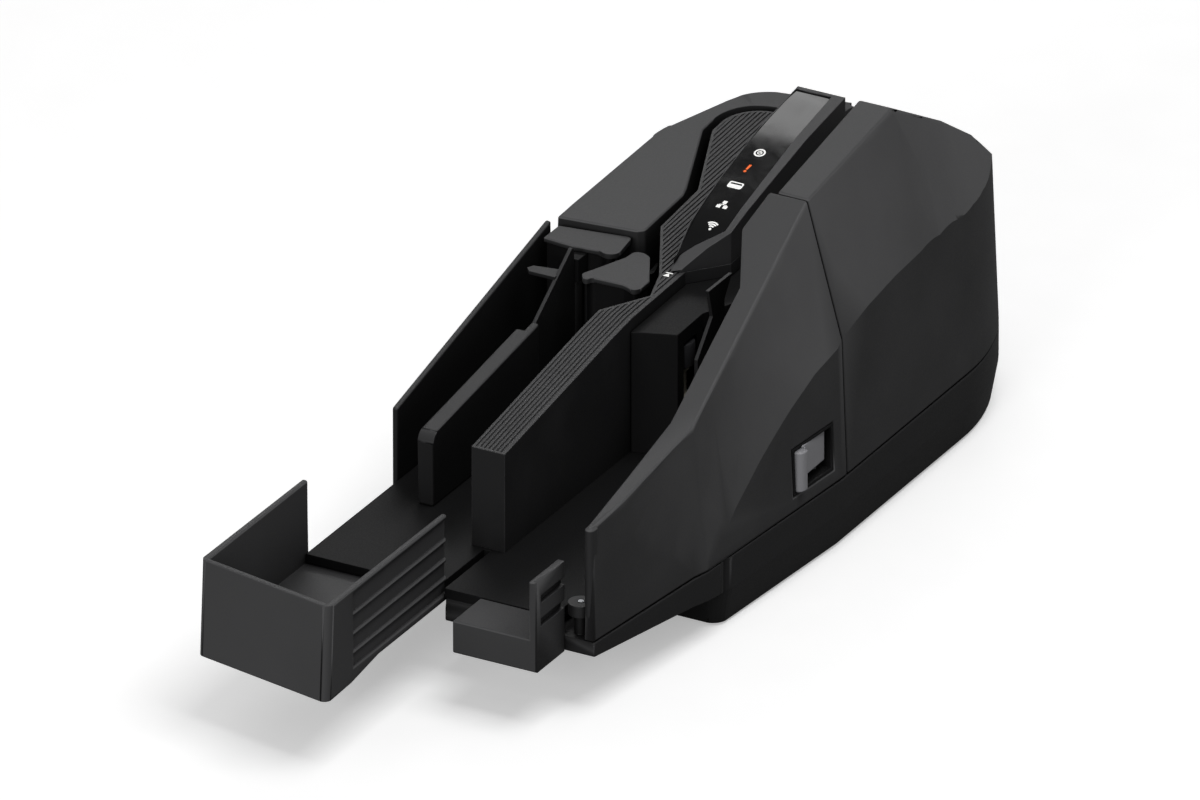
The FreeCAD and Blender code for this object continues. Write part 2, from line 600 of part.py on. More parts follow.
ribField = prism("RibField", "z", [inset(islandOutline, s.panelThick / 2)], "floorLevel", "bodyHeight")
ribGrooves = cut("RibGrooves", meet("RibMeet", [prism("RibComb", "z", combs, "floorLevel", "bodyHeight"), ribField, ribBand]),
                 [ribFloor])
node("island_cover", cut("IslandCover", islandOuter, [islandInner, windowTool("RearWindowA", rearAt, s.driveRadius),
                                                      windowTool("LeftWindow", leftAt, s.driveRadius), ribGrooves]))
guideOuter = meet("GuideOuter", [prism("GuidePlan", "z", [guideOutline], "floorLevel", "bodyHeight"),
                                 underTop("GuideTop", s.guideDrop, 0)])
guideInner = meet("GuideInner", [prism("GuidePlanInner", "z", [inset(guideOutline, s.panelThick)],
                                       "floorLevel - overrun", "bodyHeight"),
                                 underTop("GuideTopInner", s.guideDrop + s.panelThick, s.overrun)])
imageBarY = 0.59 * s.halfLength
imageBarLong = 0.064 * s.halfLength
imageBarDeep = 0.166 * s.halfWidth
imageWindow = box("ImageWindow", ["halfWidth - guideInset - overrun", imageBarY - s.fitGap, "floorLevel + wallThick"],
                  ["2 * overrun", imageBarLong + 2 * s.fitGap, "shaftTop - floorLevel - 3 * wallThick"])
guideTools = [guideInner, imageWindow]
for name, at, radius in (("Pick", pickAt, s.pickRadius), ("Feed", feedAt, s.pickRadius),
                         ("Right", rightAt, s.driveRadius), ("Rear", rearAt, s.driveRadius)):
    guideTools.append(windowTool(name + "Window", at, radius))
node("path_guide", cut("PathGuide", guideOuter, guideTools))

# Upper bearing plates inside the island

bearingHoles = [rod("Bearing%sHole" % name, rollerPlaces[name], "shaftTop - overrun", "shaftRadius + runGap", "2 * overrun")
                for name in ("Pick", "Feed", "Right")]
bearingOutline = inset(guideOutline, s.panelThick + s.fitGap)
bearingPlan = prism("BearingPlan", "z", [bearingOutline], "shaftTop - 2 * bearingThick", "bearingThick")
bearingLimit = box("BearingLimit", ["-halfWidth", 0.05 * s.halfLength, "seamLevel"],
                   ["2 * halfWidth", 0.52 * s.halfLength, "bodyHeight"])
node("bearing_plate", cut("BearingPlate", meet("BearingMeet", [bearingPlan, bearingLimit]), bearingHoles))
leftBearingHoles = [rod("LeftBearing%sHole" % name, rollerPlaces[name], "shaftTop - overrun", "shaftRadius + runGap",
                        "2 * overrun") for name in ("Rear", "Left")]
leftBearing = meet("LeftBearingMeet", [
    prism("LeftBearingPlan", "z", [inset(islandOutline, s.panelThick + s.fitGap)], "shaftTop - 2 * bearingThick",
          "bearingThick"),
    box("LeftBearingLimit", ["-halfWidth", 0.38 * s.halfLength, "seamLevel"],
        ["2 * halfWidth", 0.44 * s.halfLength, "bodyHeight"])])
node("return_bearing_plate", cut("ReturnBearingPlate", leftBearing, leftBearingHoles))

# Display ridge on the island

ridgeShares = [(0.2273, 0.612), (0.2373, 0.6266), (0.2682, 0.6682), (0.3018, 0.7014), (0.3636, 0.7263),
               (0.4486, 0.7532), (0.5773, 0.7928), (0.7205, 0.8223)]
ridgeLine = side(ridgeShares)
ridgeLeftShares = [(-0.166, 0.7205), (-0.166, 0.568), (-0.154, 0.432), (-0.127, 0.3), (-0.119, 0.2273)]
ridgeLeft = plan(ridgeLeftShares)
ridgeLeftX = ridgeLeft[0][0]
ridgeOutline = [(-0.061 * s.halfWidth, ridgeLine[0][0] + 0.006 * s.halfLength),
                (ridgeRightX, ridgeLine[3][0]), (ridgeRightX, ridgeLine[-1][0])] + ridgeLeft


def onIsland(y, rise=0):
    return along(islandTop, y) + rise


def ridgeBand(name, drop, under, trim=0):
    # the ridge's arch, lowered by a drop, down to a lower line that is either the island or a parallel arch
    upper = [(y, z - drop) for y, z in ridgeLine]
    upper[0] = (upper[0][0] - trim, upper[0][1])
    upper[-1] = (upper[-1][0] + trim, upper[-1][1])
    if under is None:
        lower = [(y, onIsland(y)) for y in (upper[-1][0], islandTop[3][0], upper[0][0])]
    else:
        lower = [(y, z + drop - under) for y, z in reversed(upper)]
    return prism(name, "x", [upper + lower], "-halfWidth", "2 * halfWidth")


windowOutline = [(ridgeRightX - s.rimFront, ridgeLine[3][0]), (ridgeRightX - s.rimRear, ridgeLine[-1][0] - s.rimEnd),
                 (ridgeLeft[0][0] + s.rimLeft, ridgeLine[-1][0] - s.rimEnd)]
windowOutline += [(x + s.rimLeft, y) for x, y in ridgeLeft[1:-1]]
windowOutline += [(ridgeLeft[-1][0] + s.rimLeft, ridgeLine[0][0] + s.rimEnd), (-0.1 * s.halfWidth, 0.252 * s.halfLength)]
windowCut = meet("WindowCut", [prism("WindowCutPlan", "z", [windowOutline], "floorLevel", "bodyHeight"),
                               ridgeBand("WindowCutBand", -s.overrun, s.windowSink + s.windowThick, s.overrun)])
ridgeInner = meet("RidgeInner", [prism("RidgePlanInner", "z", [inset(ridgeOutline, s.bezelRim)], "floorLevel",
                                       "bodyHeight"),
                                 ridgeBand("RidgeBandInner", s.windowSink + s.windowThick + s.bezelRim, None)])
ridgeOuter = meet("RidgeOuter", [prism("RidgePlan", "z", [ridgeOutline], "floorLevel", "bodyHeight"),
                                 ridgeBand("RidgeBand", 0, None)])
node("display_bezel", cut("DisplayBezel", ridgeOuter, [ridgeInner, windowCut]))
iconLine = [(0.312 * s.halfLength + i * s.iconPitch) for i in range(5)]
iconX = [-0.0124 * s.halfWidth - 0.0114 * s.halfWidth * i for i in range(5)]
iconHoles = []
icons = []
for i, y in enumerate(iconLine):
    top = along(ridgeLine, y)
    icons.append(rod("IconRod%d" % i, (iconX[i], y), top - s.overrun, "iconRadius", "2 * overrun"))
    iconHoles.append(rod("IconHole%d" % i, (iconX[i], y), top - s.overrun, "iconRadius + runGap", "2 * overrun"))
windowForm = meet("WindowForm", [prism("WindowPlan", "z", [windowOutline], "floorLevel", "bodyHeight"),
                                 ridgeBand("WindowBand", s.windowSink, s.windowSink + s.windowThick)])
node("display_window", cut("DisplayWindow", windowForm, iconHoles))
node("status_lenses", group("StatusLenses", [meet("Icon%d" % i, [icon, windowForm]) for i, icon in enumerate(icons)]))
boardLow = along(ridgeLine, iconLine[0]) - s.windowSink - s.windowThick - s.bezelRim - 3 * s.boardThick
node("display_board", box("DisplayBoard", [ridgeLeftX + 3 * s.bezelRim, iconLine[0] - s.iconRadius, boardLow],
                          [ridgeRightX - ridgeLeftX - 6 * s.bezelRim, iconLine[-1] - iconLine[0] + 4 * s.iconRadius,
                           "boardThick"]))

# Exit: two blocks with thin caps, the sorting gate's slot between them and the island

capMainShares = [(-0.938, 0.3091), (-0.523, 0.3291, 0.03), (-0.491, 0.2609, 0.05), (-0.543, 0.2459, 0.05),
                 (-0.589, 0.2545, 0.04), (-0.749, 0.2486), (-0.938, 0.2545)]
capGateShares = [(-0.545, 0.1591, 0.04), (-0.439, 0.2532), (-0.428, 0.2786, 0.04), (-0.386, 0.2864, 0.05),
                 (-0.323, 0.2745, 0.05), (-0.183, 0.1905), (-0.183, 0.1559, 0.03), (-0.21, 0.1445, 0.03),
                 (-0.262, 0.1532), (-0.292, 0.1564), (-0.476, 0.1545, 0.02), (-0.491, 0.1345, 0.02)]


def capOutline(shares):
    return [(x * s.halfWidth, y * s.halfLength) + tuple(r * s.halfWidth for r in rest) for x, y, *rest in shares]


capMain = capOutline(capMainShares)
capGate = capOutline(capGateShares)
node("main_exit_cap", prism("MainExitCap", "z", [capMain], "capLevel", "capThick"))
node("gate_exit_cap", prism("GateExitCap", "z", [capGate], "capLevel", "capThick"))
flapAt = (-0.702 * s.halfWidth, 0.232 * s.halfLength)
mainBlock = prism("MainBlock", "z", [inset(capMain, s.capInset)], "floorLevel", "capLevel - floorLevel")
flapLug = box("FlapLug", [flapAt[0] - 2 * s.pinRadius, flapAt[1] - 2 * s.pinRadius, "floorLevel"],
              ["4 * pinRadius", 0.26 * s.halfLength - flapAt[1] + 2 * s.pinRadius, "capLevel - floorLevel"])
flapLugRoom = box("FlapLugRoom", [flapAt[0] - s.overrun / 2, flapAt[1] - s.overrun, "lowBandLevel"],
                  ["overrun", s.overrun + 3 * s.pinRadius, "highBandLevel + bandHeight - lowBandLevel"])
flapPin = rod("FlapPin", flapAt, "floorLevel", "pinRadius", "capLevel - floorLevel")
flapSupport = join("FlapSupport", [cut("FlapLugs", flapLug, [flapLugRoom]), flapPin])
mainBlockRoom = windowTool("ExitPinchRoom", exitPinchAt, s.exitPinchRadius)
exitPinchBore = rod("ExitPinchBore", exitPinchAt, "floorLevel - overrun", "pinRadius + runGap", "bodyHeight")
flapRoom = rod("FlapRoom", flapAt, "lowBandLevel", "2.6 * pinRadius", "highBandLevel + bandHeight - lowBandLevel")
node("main_exit_block", join("MainExitBlock", [cut("MainBlockCut", mainBlock, [mainBlockRoom, exitPinchBore, flapRoom]),
                                               flapSupport]))
gateBlock = prism("GateBlock", "z", [inset(capGate, s.capInset)], "floorLevel", "capLevel - floorLevel")
node("gate_exit_block", cut("GateExitBlock", gateBlock, [
    windowTool("ExitRollerRoom", exitAt, s.exitRadius),
    rod("ExitShaftRoom", exitAt, "floorLevel - overrun", "shaftRadius + runGap", "bodyHeight")]))

# Pockets: divider, left wall, sprung flap, sorting gate

dividerLeftX = -0.735 * s.halfWidth
dividerShares = [(-0.3195, 0.4335), (0.0077, 0.5), (0.0636, 0.5115)]
divider = side(dividerShares)
dividerProfile = [(divider[0][0], s.floorLevel)] + divider + [(divider[-1][0], s.floorLevel)]
dividerForm = prism("DividerForm", "x", [[(y, z) + ((2 * s.wallThick,) if i == 1 else ())
                                          for i, (y, z) in enumerate(dividerProfile)]], dividerLeftX, "dividerThick")
flapSlot = box("FlapSlot", [flapAt[0] + s.flapThick / 2 + s.fitGap - s.overrun, 0.0386 * s.halfLength - s.seamGap,
                            "floorLevel - overrun"], ["overrun", "overrun", "bodyHeight"])
node("pocket_divider", cut("PocketDivider", dividerForm, [flapSlot]))
leftWallShares = [(-0.255, 0.4335), (0.3, 0.6157)]
leftWall = side(leftWallShares)
node("pocket_side_wall", prism("PocketSideWall", "x", [[(leftWall[0][0], s.seamLevel + s.seamGap)] + leftWall
                                                       + [(leftWall[1][0], s.seamLevel + s.seamGap)]],
                               "-halfWidth", "wallThick"))
flapShares = [(0.2195, 0.629), (0.0386, 0.457), (0.0386, 0.303), (0.2195, 0.303)]
flapSide = side(flapShares)
flapPlate = prism("FlapPlate", "x", [[flapSide[0] + (0.6 * s.wallThick,), flapSide[1] + (3 * s.wallThick,), flapSide[2],
                                      flapSide[3]]], flapAt[0] - s.flapThick / 2, "flapThick")
leafShares = [(-0.702, 0.155), (-0.86, 0.155), (-0.888, 0.166), (-0.87, 0.178), (-0.702, 0.188)]
leafLevel = 0.567 * s.bodyHeight
flapLeaf = prism("FlapLeaf", "z", [plan(leafShares)], leafLevel, "flapThick")
flapBarrel = cut("FlapBarrel", rod("FlapBarrelOuter", flapAt, "lowBandLevel + fitGap", "2 * pinRadius",
                                   "highBandLevel + bandHeight - lowBandLevel - 2 * fitGap"),
                 [rod("FlapBarrelBore", flapAt, "floorLevel", "pinRadius + runGap", "bodyHeight")])
flapNeck = box("FlapNeck", [flapAt[0] - s.flapThick / 2, flapSide[0][0] - s.fitGap, "lowBandLevel + fitGap"],
               ["flapThick", flapAt[1] - s.pinRadius - s.runGap - s.fitGap - flapSide[0][0] + s.fitGap,
                "highBandLevel + bandHeight - lowBandLevel - 2 * fitGap"])
node("pocket_flap", join("PocketFlap", [flapPlate, flapLeaf, flapNeck, flapBarrel]))
gateTip = (gateAt[0] - 0.026 * s.halfWidth, gateAt[1] + 0.045 * s.halfLength)
gateBlade = prism("GateBlade", "z", [[(gateAt[0] - s.gateThick, gateAt[1]), (gateAt[0] + s.gateThick, gateAt[1]),
                                      (gateTip[0] + s.gateThick / 2, gateTip[1]),
                                      (gateTip[0] - s.gateThick / 2, gateTip[1])]],
                  "floorLevel + topClear", "shaftTop - floorLevel - 2 * topClear - wallThick")
gateStem = rod("GateStem", gateAt, "shaftLow", "pinRadius", "shaftTop - shaftLow - wallThick")
node("sorting_gate", join("SortingGate", [gateBlade, gateStem]))
node("gate_solenoid", rod("GateSolenoid", gateAt, "footHeight + tubFloor", "2 * bushRadius",
                          "shaftLow - footHeight - tubFloor - fitGap"))

# Pocket tray: slides in and out over the deck

trayRear = 0.574 * s.halfLength
yaw = math.radians(s.trayYaw)
trayTipY = -s.halfLength + s.trayCorner - s.trayCorner * (1 + math.sin(yaw)) / math.cos(yaw)
trayOutline = [(-s.halfWidth, trayTipY + (trayRightX + s.halfWidth) * math.tan(yaw), s.trayCorner),
               (trayRightX, trayTipY, s.trayCorner), (trayRightX, -trayRear), (-s.halfWidth, -trayRear)]


def trayForm(name, outline, lower, upper):
    # loft from the tray's foot, where its front leans out, to its rim
    rims = []
    for i, (level, lean) in enumerate(((lower, 0), (upper, s.trayLean))):
        rim = doc.addObject("Sketcher::SketchObject", "%sRim%d" % (name, i))
        rim.Placement.Base.z = level
        corners = [(c[0], c[1] + lean) + tuple(c[2:]) if c[1] < -0.8 * s.halfLength else c for c in outline]
        for edge in edgesOf(corners):
            rim.addGeometry(edge, False)
        rims.append(rim)
    loft = doc.addObject("Part::Loft", name)
    loft.Sections = rims
    loft.Solid = True
    loft.Ruled = True
    return loft


trayInner = inset(trayOutline, s.trayWall)
trayInner[2] = (trayInner[2][0], -trayRear + s.overrun)
trayInner[3] = (trayInner[3][0], -trayRear + s.overrun)
trayFloorLevel = s.trayBottom + s.trayRise + s.trayFloor
trayTall = s.trayTop - s.trayBottom
trayOuter = trayForm("TrayOuter", trayOutline, s.trayBottom, s.trayTop)
trayHollow = trayForm("TrayHollow", trayInner, trayFloorLevel, trayFloorLevel + trayTall)
stepStart = -0.915 * s.halfLength
stepEnd = -0.818 * s.halfLength
trayStep = prism("TrayStep", "x", [[(stepStart, s.trayBottom - s.overrun), (stepStart, s.trayBottom),
                                    (stepEnd, s.trayBottom + s.trayRise), (0, s.trayBottom + s.trayRise),
                                    (0, s.trayBottom - s.overrun)]], "-halfWidth", "2 * halfWidth")
recessStart = -0.906 * s.halfLength
trayRecess = box("TrayRecess", [trayRightX - s.railDeep, recessStart, s.trayTop - 0.84 * trayTall],
                 ["overrun", "halfLength", 0.79 * trayTall])
trayRails = [box("TrayRail%d" % i, [trayRightX - s.trayWall, recessStart - s.fitGap, s.trayBottom + share * trayTall],
                 ["trayWall - railDeep / 4", -trayRear - recessStart + s.fitGap, 0.05 * trayTall])
             for i, share in enumerate((0.28, 0.48, 0.69))]
trayTongue = box("TrayTongue", [-s.halfWidth + s.trayWall + 2 * s.fitGap, -trayRear, s.trayBottom + s.trayRise],
                 [trayRightX + s.halfWidth - 2 * s.trayWall - 4 * s.fitGap, 0.06 * s.halfLength, "trayFloor"])
trayCut = cut("TrayCut", trayOuter, [trayHollow, trayRecess, trayStep])
node("pocket_tray", join("PocketTray", [trayCut, trayTongue] + trayRails))

# Hopper tray: bracket and post at the front of the hopper, on two rails

postRightX = 0.608 * s.halfWidth
bracketFront = -0.6886 * s.halfLength
bracketRear = hopperFrontY - s.seamGap
bracketLeftX = 0.1 * s.halfWidth
bracketPlate = box("BracketPlate", [bracketLeftX, bracketFront, "floorLevel - deckThick"],
                   [postRightX - bracketLeftX, bracketRear - bracketFront, "deckThick"])
bracketApron = box("BracketApron", [bracketLeftX, bracketFront, "bracketLow"],
                   [postRightX - bracketLeftX, "postThick", "floorLevel - bracketLow"])
bracketSide = box("BracketSide", [postRightX - s.postThick, bracketFront, "bracketLow"],
                  ["postThick", bracketRear - bracketFront, "postTop - bracketLow"])
postSlots = [box("PostSlot%d" % i, [postRightX - s.postThick / 2, bracketFront + s.postThick, s.floorLevel + share * (s.postTop - s.floorLevel)],
                 ["postThick", bracketRear - bracketFront, "postThick"]) for i, share in enumerate((0.2, 0.6))]
rails = [box("Rail%d" % i, [x, bracketRear - s.postThick, "floorLevel - deckThick + fitGap"],
             ["railWidth", s.railLength + s.postThick, "railHeight - fitGap"]) for i, x in enumerate(railPlaces)]
node("hopper_tray", join("HopperTray", [cut("BracketPost", bracketSide, postSlots), bracketPlate, bracketApron] + rails))

# Rollers and shafts

def roller(label, at, radius, low, top, driven, bands=("lowBandLevel", "highBandLevel")):
    name = "".join(word.title() for word in label.split("_"))
    shaft = [rod(name + "Shaft", at, low, "shaftRadius" if driven else "pinRadius", "%s - (%s)" % (top, low))]
    if driven:
        shaft.append(rod(name + "Pulley", at, low, "pulleyRadius", "pulleyHeight"))
    hub = radius - s.rubberThick
    shaft.append(rod(name + "Hub", at, bands[0], hub, "%s + bandHeight - %s" % (bands[1], bands[0])))
    pieces = [join(name + "Core", shaft)]
    for i, band in enumerate(bands):
        ring = rod("%sBand%d" % (name, i), at, band, radius, "bandHeight")
        bore = rod("%sBandBore%d" % (name, i), at, "%s - overrun" % band, hub, "3 * overrun")
        pieces.append(cut("%sRing%d" % (name, i), ring, [bore]))
    return node(label, group(name, pieces))


roller("pick_roller", pickAt, s.pickRadius, "shaftLow", "shaftTop - bearingThick", True)
roller("feed_roller", feedAt, s.pickRadius, "shaftLow", "shaftTop - bearingThick", True)
roller("right_drive_roller", rightAt, s.driveRadius, "shaftLow", "shaftTop - bearingThick", True)
roller("rear_drive_roller", rearAt, s.driveRadius, "shaftLow", "shaftTop - bearingThick", True)
roller("left_drive_roller", leftAt, s.driveRadius, "shaftLow", "shaftTop - bearingThick", True)
roller("exit_roller", exitAt, s.exitRadius, "shaftLow", "capLevel - fitGap", True)
pinchLow = "lowBandLevel - 3 * wallThick"
pinchTop = "highBandLevel + bandHeight + 2 * wallThick"
roller("retard_roller", retardAt, s.pinchRadius, pinchLow, pinchTop, False)
roller("right_pinch_roller", rightPinchAt, s.pinchRadius, pinchLow, pinchTop, False)
roller("rear_pinch_roller", rearPinchAt, s.pinchRadius, pinchLow, pinchTop, False)
roller("left_pinch_roller", leftPinchAt, s.pinchRadius, pinchLow, pinchTop, False)
roller("exit_pinch_roller", exitPinchAt, s.exitPinchRadius, pinchLow, pinchTop, False)

# Motors and belts

for label, at in (("transport_motor", transportMotorAt), ("feed_motor", feedMotorAt)):
    name = "".join(word.title() for word in label.split("_"))
    can = rod(name + "Can", at, "footHeight + tubFloor", "motorRadius", "motorHeight")
    bore = rod(name + "Bore", at, "footHeight + tubFloor + 2 * wallThick", "motorShaftRadius + runGap", "overrun")
    node(label, cut(name, can, [bore]))
    stem = rod(name + "Stem", at, "footHeight + tubFloor + 2 * wallThick + fitGap", "motorShaftRadius",
               "shaftLow + pulleyHeight - footHeight - tubFloor - 2 * wallThick - fitGap")
    wheel = rod(name + "Wheel", at, "shaftLow", "pulleyRadius", "pulleyHeight")
    node(label + "_shaft", join(name + "Shaft", [stem, wheel]))


def belt(label, places):
    name = "".join(word.title() for word in label.split("_"))
    reach = s.pulleyRadius + s.beltGap
    inner = [c + (reach,) for c in inset(places, -reach)]
    outer = [c + (reach + s.beltThick,) for c in inset(places, -reach - s.beltThick)]
    return node(label, prism(name, "z", [outer, inner], "shaftLow + (pulleyHeight - beltWidth) / 2", "beltWidth"))


belt("transport_belt", [exitAt, transportMotorAt, rightAt, rearAt, leftAt])
belt("feed_belt", [pickAt, feedMotorAt, feedAt])

# Hopper paddle: presses the cheques to the pick roller, sprung

paddleAt = (0.441 * s.halfWidth, 0.118 * s.halfLength)
paddleX = 0.373 * s.halfWidth
paddleLow = s.lowBandLevel + 2 * s.wallThick
paddleHigh = s.highBandLevel + 2 * s.wallThick
paddleSide = [(0.02 * s.halfLength, s.lowBandLevel), (paddleAt[1], s.lowBandLevel), (paddleAt[1], 0.66 * s.bodyHeight),
              (0.145 * s.halfLength, 0.714 * s.bodyHeight), (0.06 * s.halfLength, 0.714 * s.bodyHeight),
              (0.075 * s.halfLength, 0.636 * s.bodyHeight), (0.02 * s.halfLength, 0.55 * s.bodyHeight)]
paddlePlate = prism("PaddlePlate", "x", [paddleSide], paddleX, "flapThick")
paddleArm = box("PaddleArm", [paddleX, paddleAt[1] - s.pinRadius, paddleLow],
                [paddleAt[0] - paddleX, "2 * pinRadius", paddleHigh - paddleLow])
paddleBarrel = rod("PaddleBarrel", paddleAt, paddleLow, "2 * pinRadius", paddleHigh - paddleLow)
paddleBore = rod("PaddleBore", paddleAt, "floorLevel", "pinRadius + runGap", "bodyHeight")
node("hopper_paddle", cut("HopperPaddle", join("PaddleJoined", [paddlePlate, paddleArm, paddleBarrel]), [paddleBore]))
paddleLugs = [rod("PaddlePin", paddleAt, paddleLow - s.wallThick, "pinRadius", paddleHigh - paddleLow + 2 * s.wallThick)]
for i, level in enumerate((paddleLow - s.fitGap - s.wallThick, paddleHigh + s.fitGap)):
    paddleLugs.append(box("PaddleLug%d" % i, [paddleAt[0] - 2 * s.pinRadius, paddleAt[1] - 2 * s.pinRadius, level],
                          [0.09 * s.halfWidth, "4 * pinRadius", "wallThick"]))

# Feed cover: right front cover, swings about a pin at its front

feedRegionShares = [(0.726, -0.5855), (1.172, -0.5855), (1.172, 0.2018), (0.524, 0.2018), (0.486, 0.125),
                    (0.648, 0.02), (0.657, -0.0641)]
feedRegion = plan(feedRegionShares)
feedOuter, feedInner = coverShell("FeedCover", feedRegion, roofForm, roofFormInner)
leverWindow = box("LeverWindow", ["halfWidth * 0.8", "dishLowY", "dishLow"],
                  ["halfWidth", "dishHighY - dishLowY", "dishTop - dishLow"])
hingeLug = join("FeedLug", [rod("FeedLugEye", feedHingeAt, "floorLevel + topClear", "barrelRadius + wallThick", "2 * wallThick"),
                            box("FeedLugArm", [feedHingeAt[0], feedHingeAt[1] - s.barrelRadius, "floorLevel + topClear"],
                                [0.12 * s.halfWidth, "2 * barrelRadius", "2 * wallThick"])])
feedPinBore = rod("FeedPinBore", feedHingeAt, "seamLevel - overrun", "pinRadius + runGap", "3 * overrun")
feedShell = cut("FeedShell", feedOuter, [feedInner, leverWindow, deckTrim])
armLow = s.lowBandLevel - 3 * s.wallThick
boreTall = "highBandLevel + bandHeight + 2 * wallThick + fitGap - seamLevel"
retardArms = []
for i, level in enumerate((armLow, s.highBandLevel + s.bandHeight + s.wallThick)):
    arm = box("RetardArm%d" % i, [retardAt[0] - 2 * s.pinRadius, retardAt[1] - 2 * s.pinRadius, level],
              [0.3 * s.halfWidth, "4 * pinRadius", "2 * wallThick"])
    retardArms.append(arm)
retardSolid = cut("RetardArmsCut", join("RetardArms", retardArms), [prism("RetardTrim", "z", [feedRegion], "seamLevel", "bodyHeight"),
                  rod("RetardBore", retardAt, "seamLevel", "pinRadius + runGap", boreTall)])
node("feed_cover", cut("FeedCover", join("FeedCoverJoined", [feedShell, hingeLug] + paddleLugs), [feedPinBore]))
node("retard_bracket", retardSolid)
leverLow = s.dishLow + s.flapThick + s.fitGap
leverTop = s.dishTop - s.flapThick - s.fitGap
lean = math.tan(math.radians(s.draftAngle)) * ((s.dishLow + s.dishTop) / 2 - s.seamLevel)


def leverWall(y, inwards):
    # a point on the feed cover's side at the lever's height, or inside it
    return (sideX(y) - lean - inwards, y)


dishOutline = [leverWall(s.dishLowY, s.dishDeep), leverWall(s.dishHighY, s.dishDeep),
               leverWall(s.dishHighY, -s.overrun), leverWall(s.dishLowY, -s.overrun)]
dishSlab = prism("DishSlab", "z", [dishOutline], "dishLow", "dishTop - dishLow")
dishTrim = prism("DishTrim", "z", [bodyOutline], "seamLevel + seamGap", "bodyHeight", "-draftAngle")
dishRoomOutline = [leverWall(s.dishLowY + s.flapThick, s.dishDeep - s.flapThick),
                   leverWall(s.dishHighY - s.flapThick, s.dishDeep - s.flapThick),
                   leverWall(s.dishHighY - s.flapThick, -s.overrun), leverWall(s.dishLowY + s.flapThick, -s.overrun)]
dishRoom = prism("DishRoom", "z", [dishRoomOutline], "dishLow + flapThick", "dishTop - dishLow - 2 * flapThick")
leverHingeAt = leverWall(s.dishHighY - s.flapThick - s.fitGap - 2 * s.pinRadius, s.dishDeep - s.flapThick - s.fitGap - 2 * s.pinRadius)
leverPinBore = rod("LeverPinBore", leverHingeAt, "dishLow - overrun", "pinRadius + runGap", "2 * overrun + dishTop - dishLow")
node("lever_dish", cut("LeverDish", meet("DishBody", [dishSlab, dishTrim]), [dishRoom, leverPinBore]))
gripFront = s.dishLowY + s.flapThick + s.fitGap
gripBack = gripFront + s.leverWidth
plateBack = leverHingeAt[1] + s.pinRadius
plateDeep = s.dishDeep - s.flapThick - s.fitGap
leverOutline = [leverWall(gripFront + s.flapThick, plateDeep), leverWall(gripFront, plateDeep - s.leverThick),
                leverWall(gripFront, -s.leverProud) + (0.4 * s.leverThick,),
                leverWall(gripBack, -s.leverProud) + (0.4 * s.leverThick,),
                leverWall(gripBack, plateDeep - 2 * s.flapThick) + (0.3 * s.leverThick,),
                leverWall(plateBack, plateDeep - s.leverThick), leverWall(plateBack, plateDeep)]
leverStub = rod("LeverStub", leverHingeAt, "dishLow + fitGap", "pinRadius", "dishTop - dishLow - 2 * fitGap")
node("release_lever", join("ReleaseLever", [prism("LeverForm", "z", [leverOutline], leverLow, leverTop - leverLow), leverStub]))

# Rear cover: right rear cover, swings about a pin in the rear pillar

rearRegion = [(slotX, seamY + s.seamGap), (1.172 * s.halfWidth, seamY + s.seamGap),
              (1.172 * s.halfWidth, 1.06 * s.halfLength), (s.pillarHigh + s.seamGap, 1.06 * s.halfLength),
              (s.pillarHigh + s.seamGap, crossOuter), (slotX, crossOuter, s.turnRadius + s.slotWidth)]
rearOuter, rearInner = coverShell("RearCover", rearRegion, roofForm, roofFormInner)
barrelLow = "floorLevel + topClear + lugHeight + fitGap"
pillarTop = "(bodyHeight - pillarDrop)"
barrelTall = pillarTop + " - floorLevel - topClear - 2 * lugHeight - 2 * fitGap"


def hingeTools(name, at):
    # room for the pillar's lugs, and the barrel that turns on the pin
    lowRoom = rod(name + "LowRoom", at, "seamLevel", "barrelRadius + 2 * fitGap + wallThick / 2", "floorLevel + topClear + lugHeight + fitGap - seamLevel")
    highRoom = rod(name + "HighRoom", at, pillarTop + " - lugHeight - fitGap", "barrelRadius + 2 * fitGap + wallThick / 2", "overrun + lugHeight")
    barrel = rod(name + "Barrel", at, barrelLow, "barrelRadius", barrelTall)
    bore = rod(name + "Bore", at, "seamLevel", "pinRadius + runGap", "bodyHeight")
    return lowRoom, highRoom, barrel, bore


def pinchLedges(name, at, low, size):
    # two ledges in a cover that hold a pinch roller's shaft
    ledges = [box("%sLedge%d" % (name, i), [low[0], low[1], level], [size[0], size[1], "2 * wallThick"])
              for i, level in enumerate((s.lowBandLevel - 3 * s.wallThick, s.highBandLevel + s.bandHeight + s.wallThick))]
    return ledges


rearLow, rearHigh, rearBarrel, rearBore = hingeTools("RearHinge", rearHingeAt)
rearLedges = pinchLedges("RearCover", rightPinchAt, (slotX + s.wallThick / 2, rightPinchAt[1] - 1.2 * s.pinchRadius),
                         (2.4 * s.pinchRadius, 2.4 * s.pinchRadius))
backBarX = slotX + s.nipGap
backImageWindow = box("BackImageWindow", [slotX - s.overrun / 2, imageBarY - s.fitGap, "floorLevel + 2 * wallThick"],
                      ["overrun / 2 + wallThick + fitGap", imageBarLong + 2 * s.fitGap, "shaftTop - floorLevel - 5 * wallThick"])
headY = 0.36 * s.halfLength
headWindow = box("HeadWindow", [slotX - s.overrun / 2, headY - s.fitGap, "floorLevel + 2 * wallThick - fitGap"],
                 ["overrun / 2 + wallThick + fitGap", "3 * wallThick + 2 * fitGap", "5 * wallThick + 2 * fitGap"])
rearShell = cut("RearShell", rearOuter, [rearInner, deckTrim, rearLow, rearHigh,
                                         windowTool("RightPinchRoom", rightPinchAt, s.pinchRadius),
                                         backImageWindow, headWindow])
rightPinchBore = rod("RightPinchBore", rightPinchAt, "seamLevel", "pinRadius + runGap", boreTall)
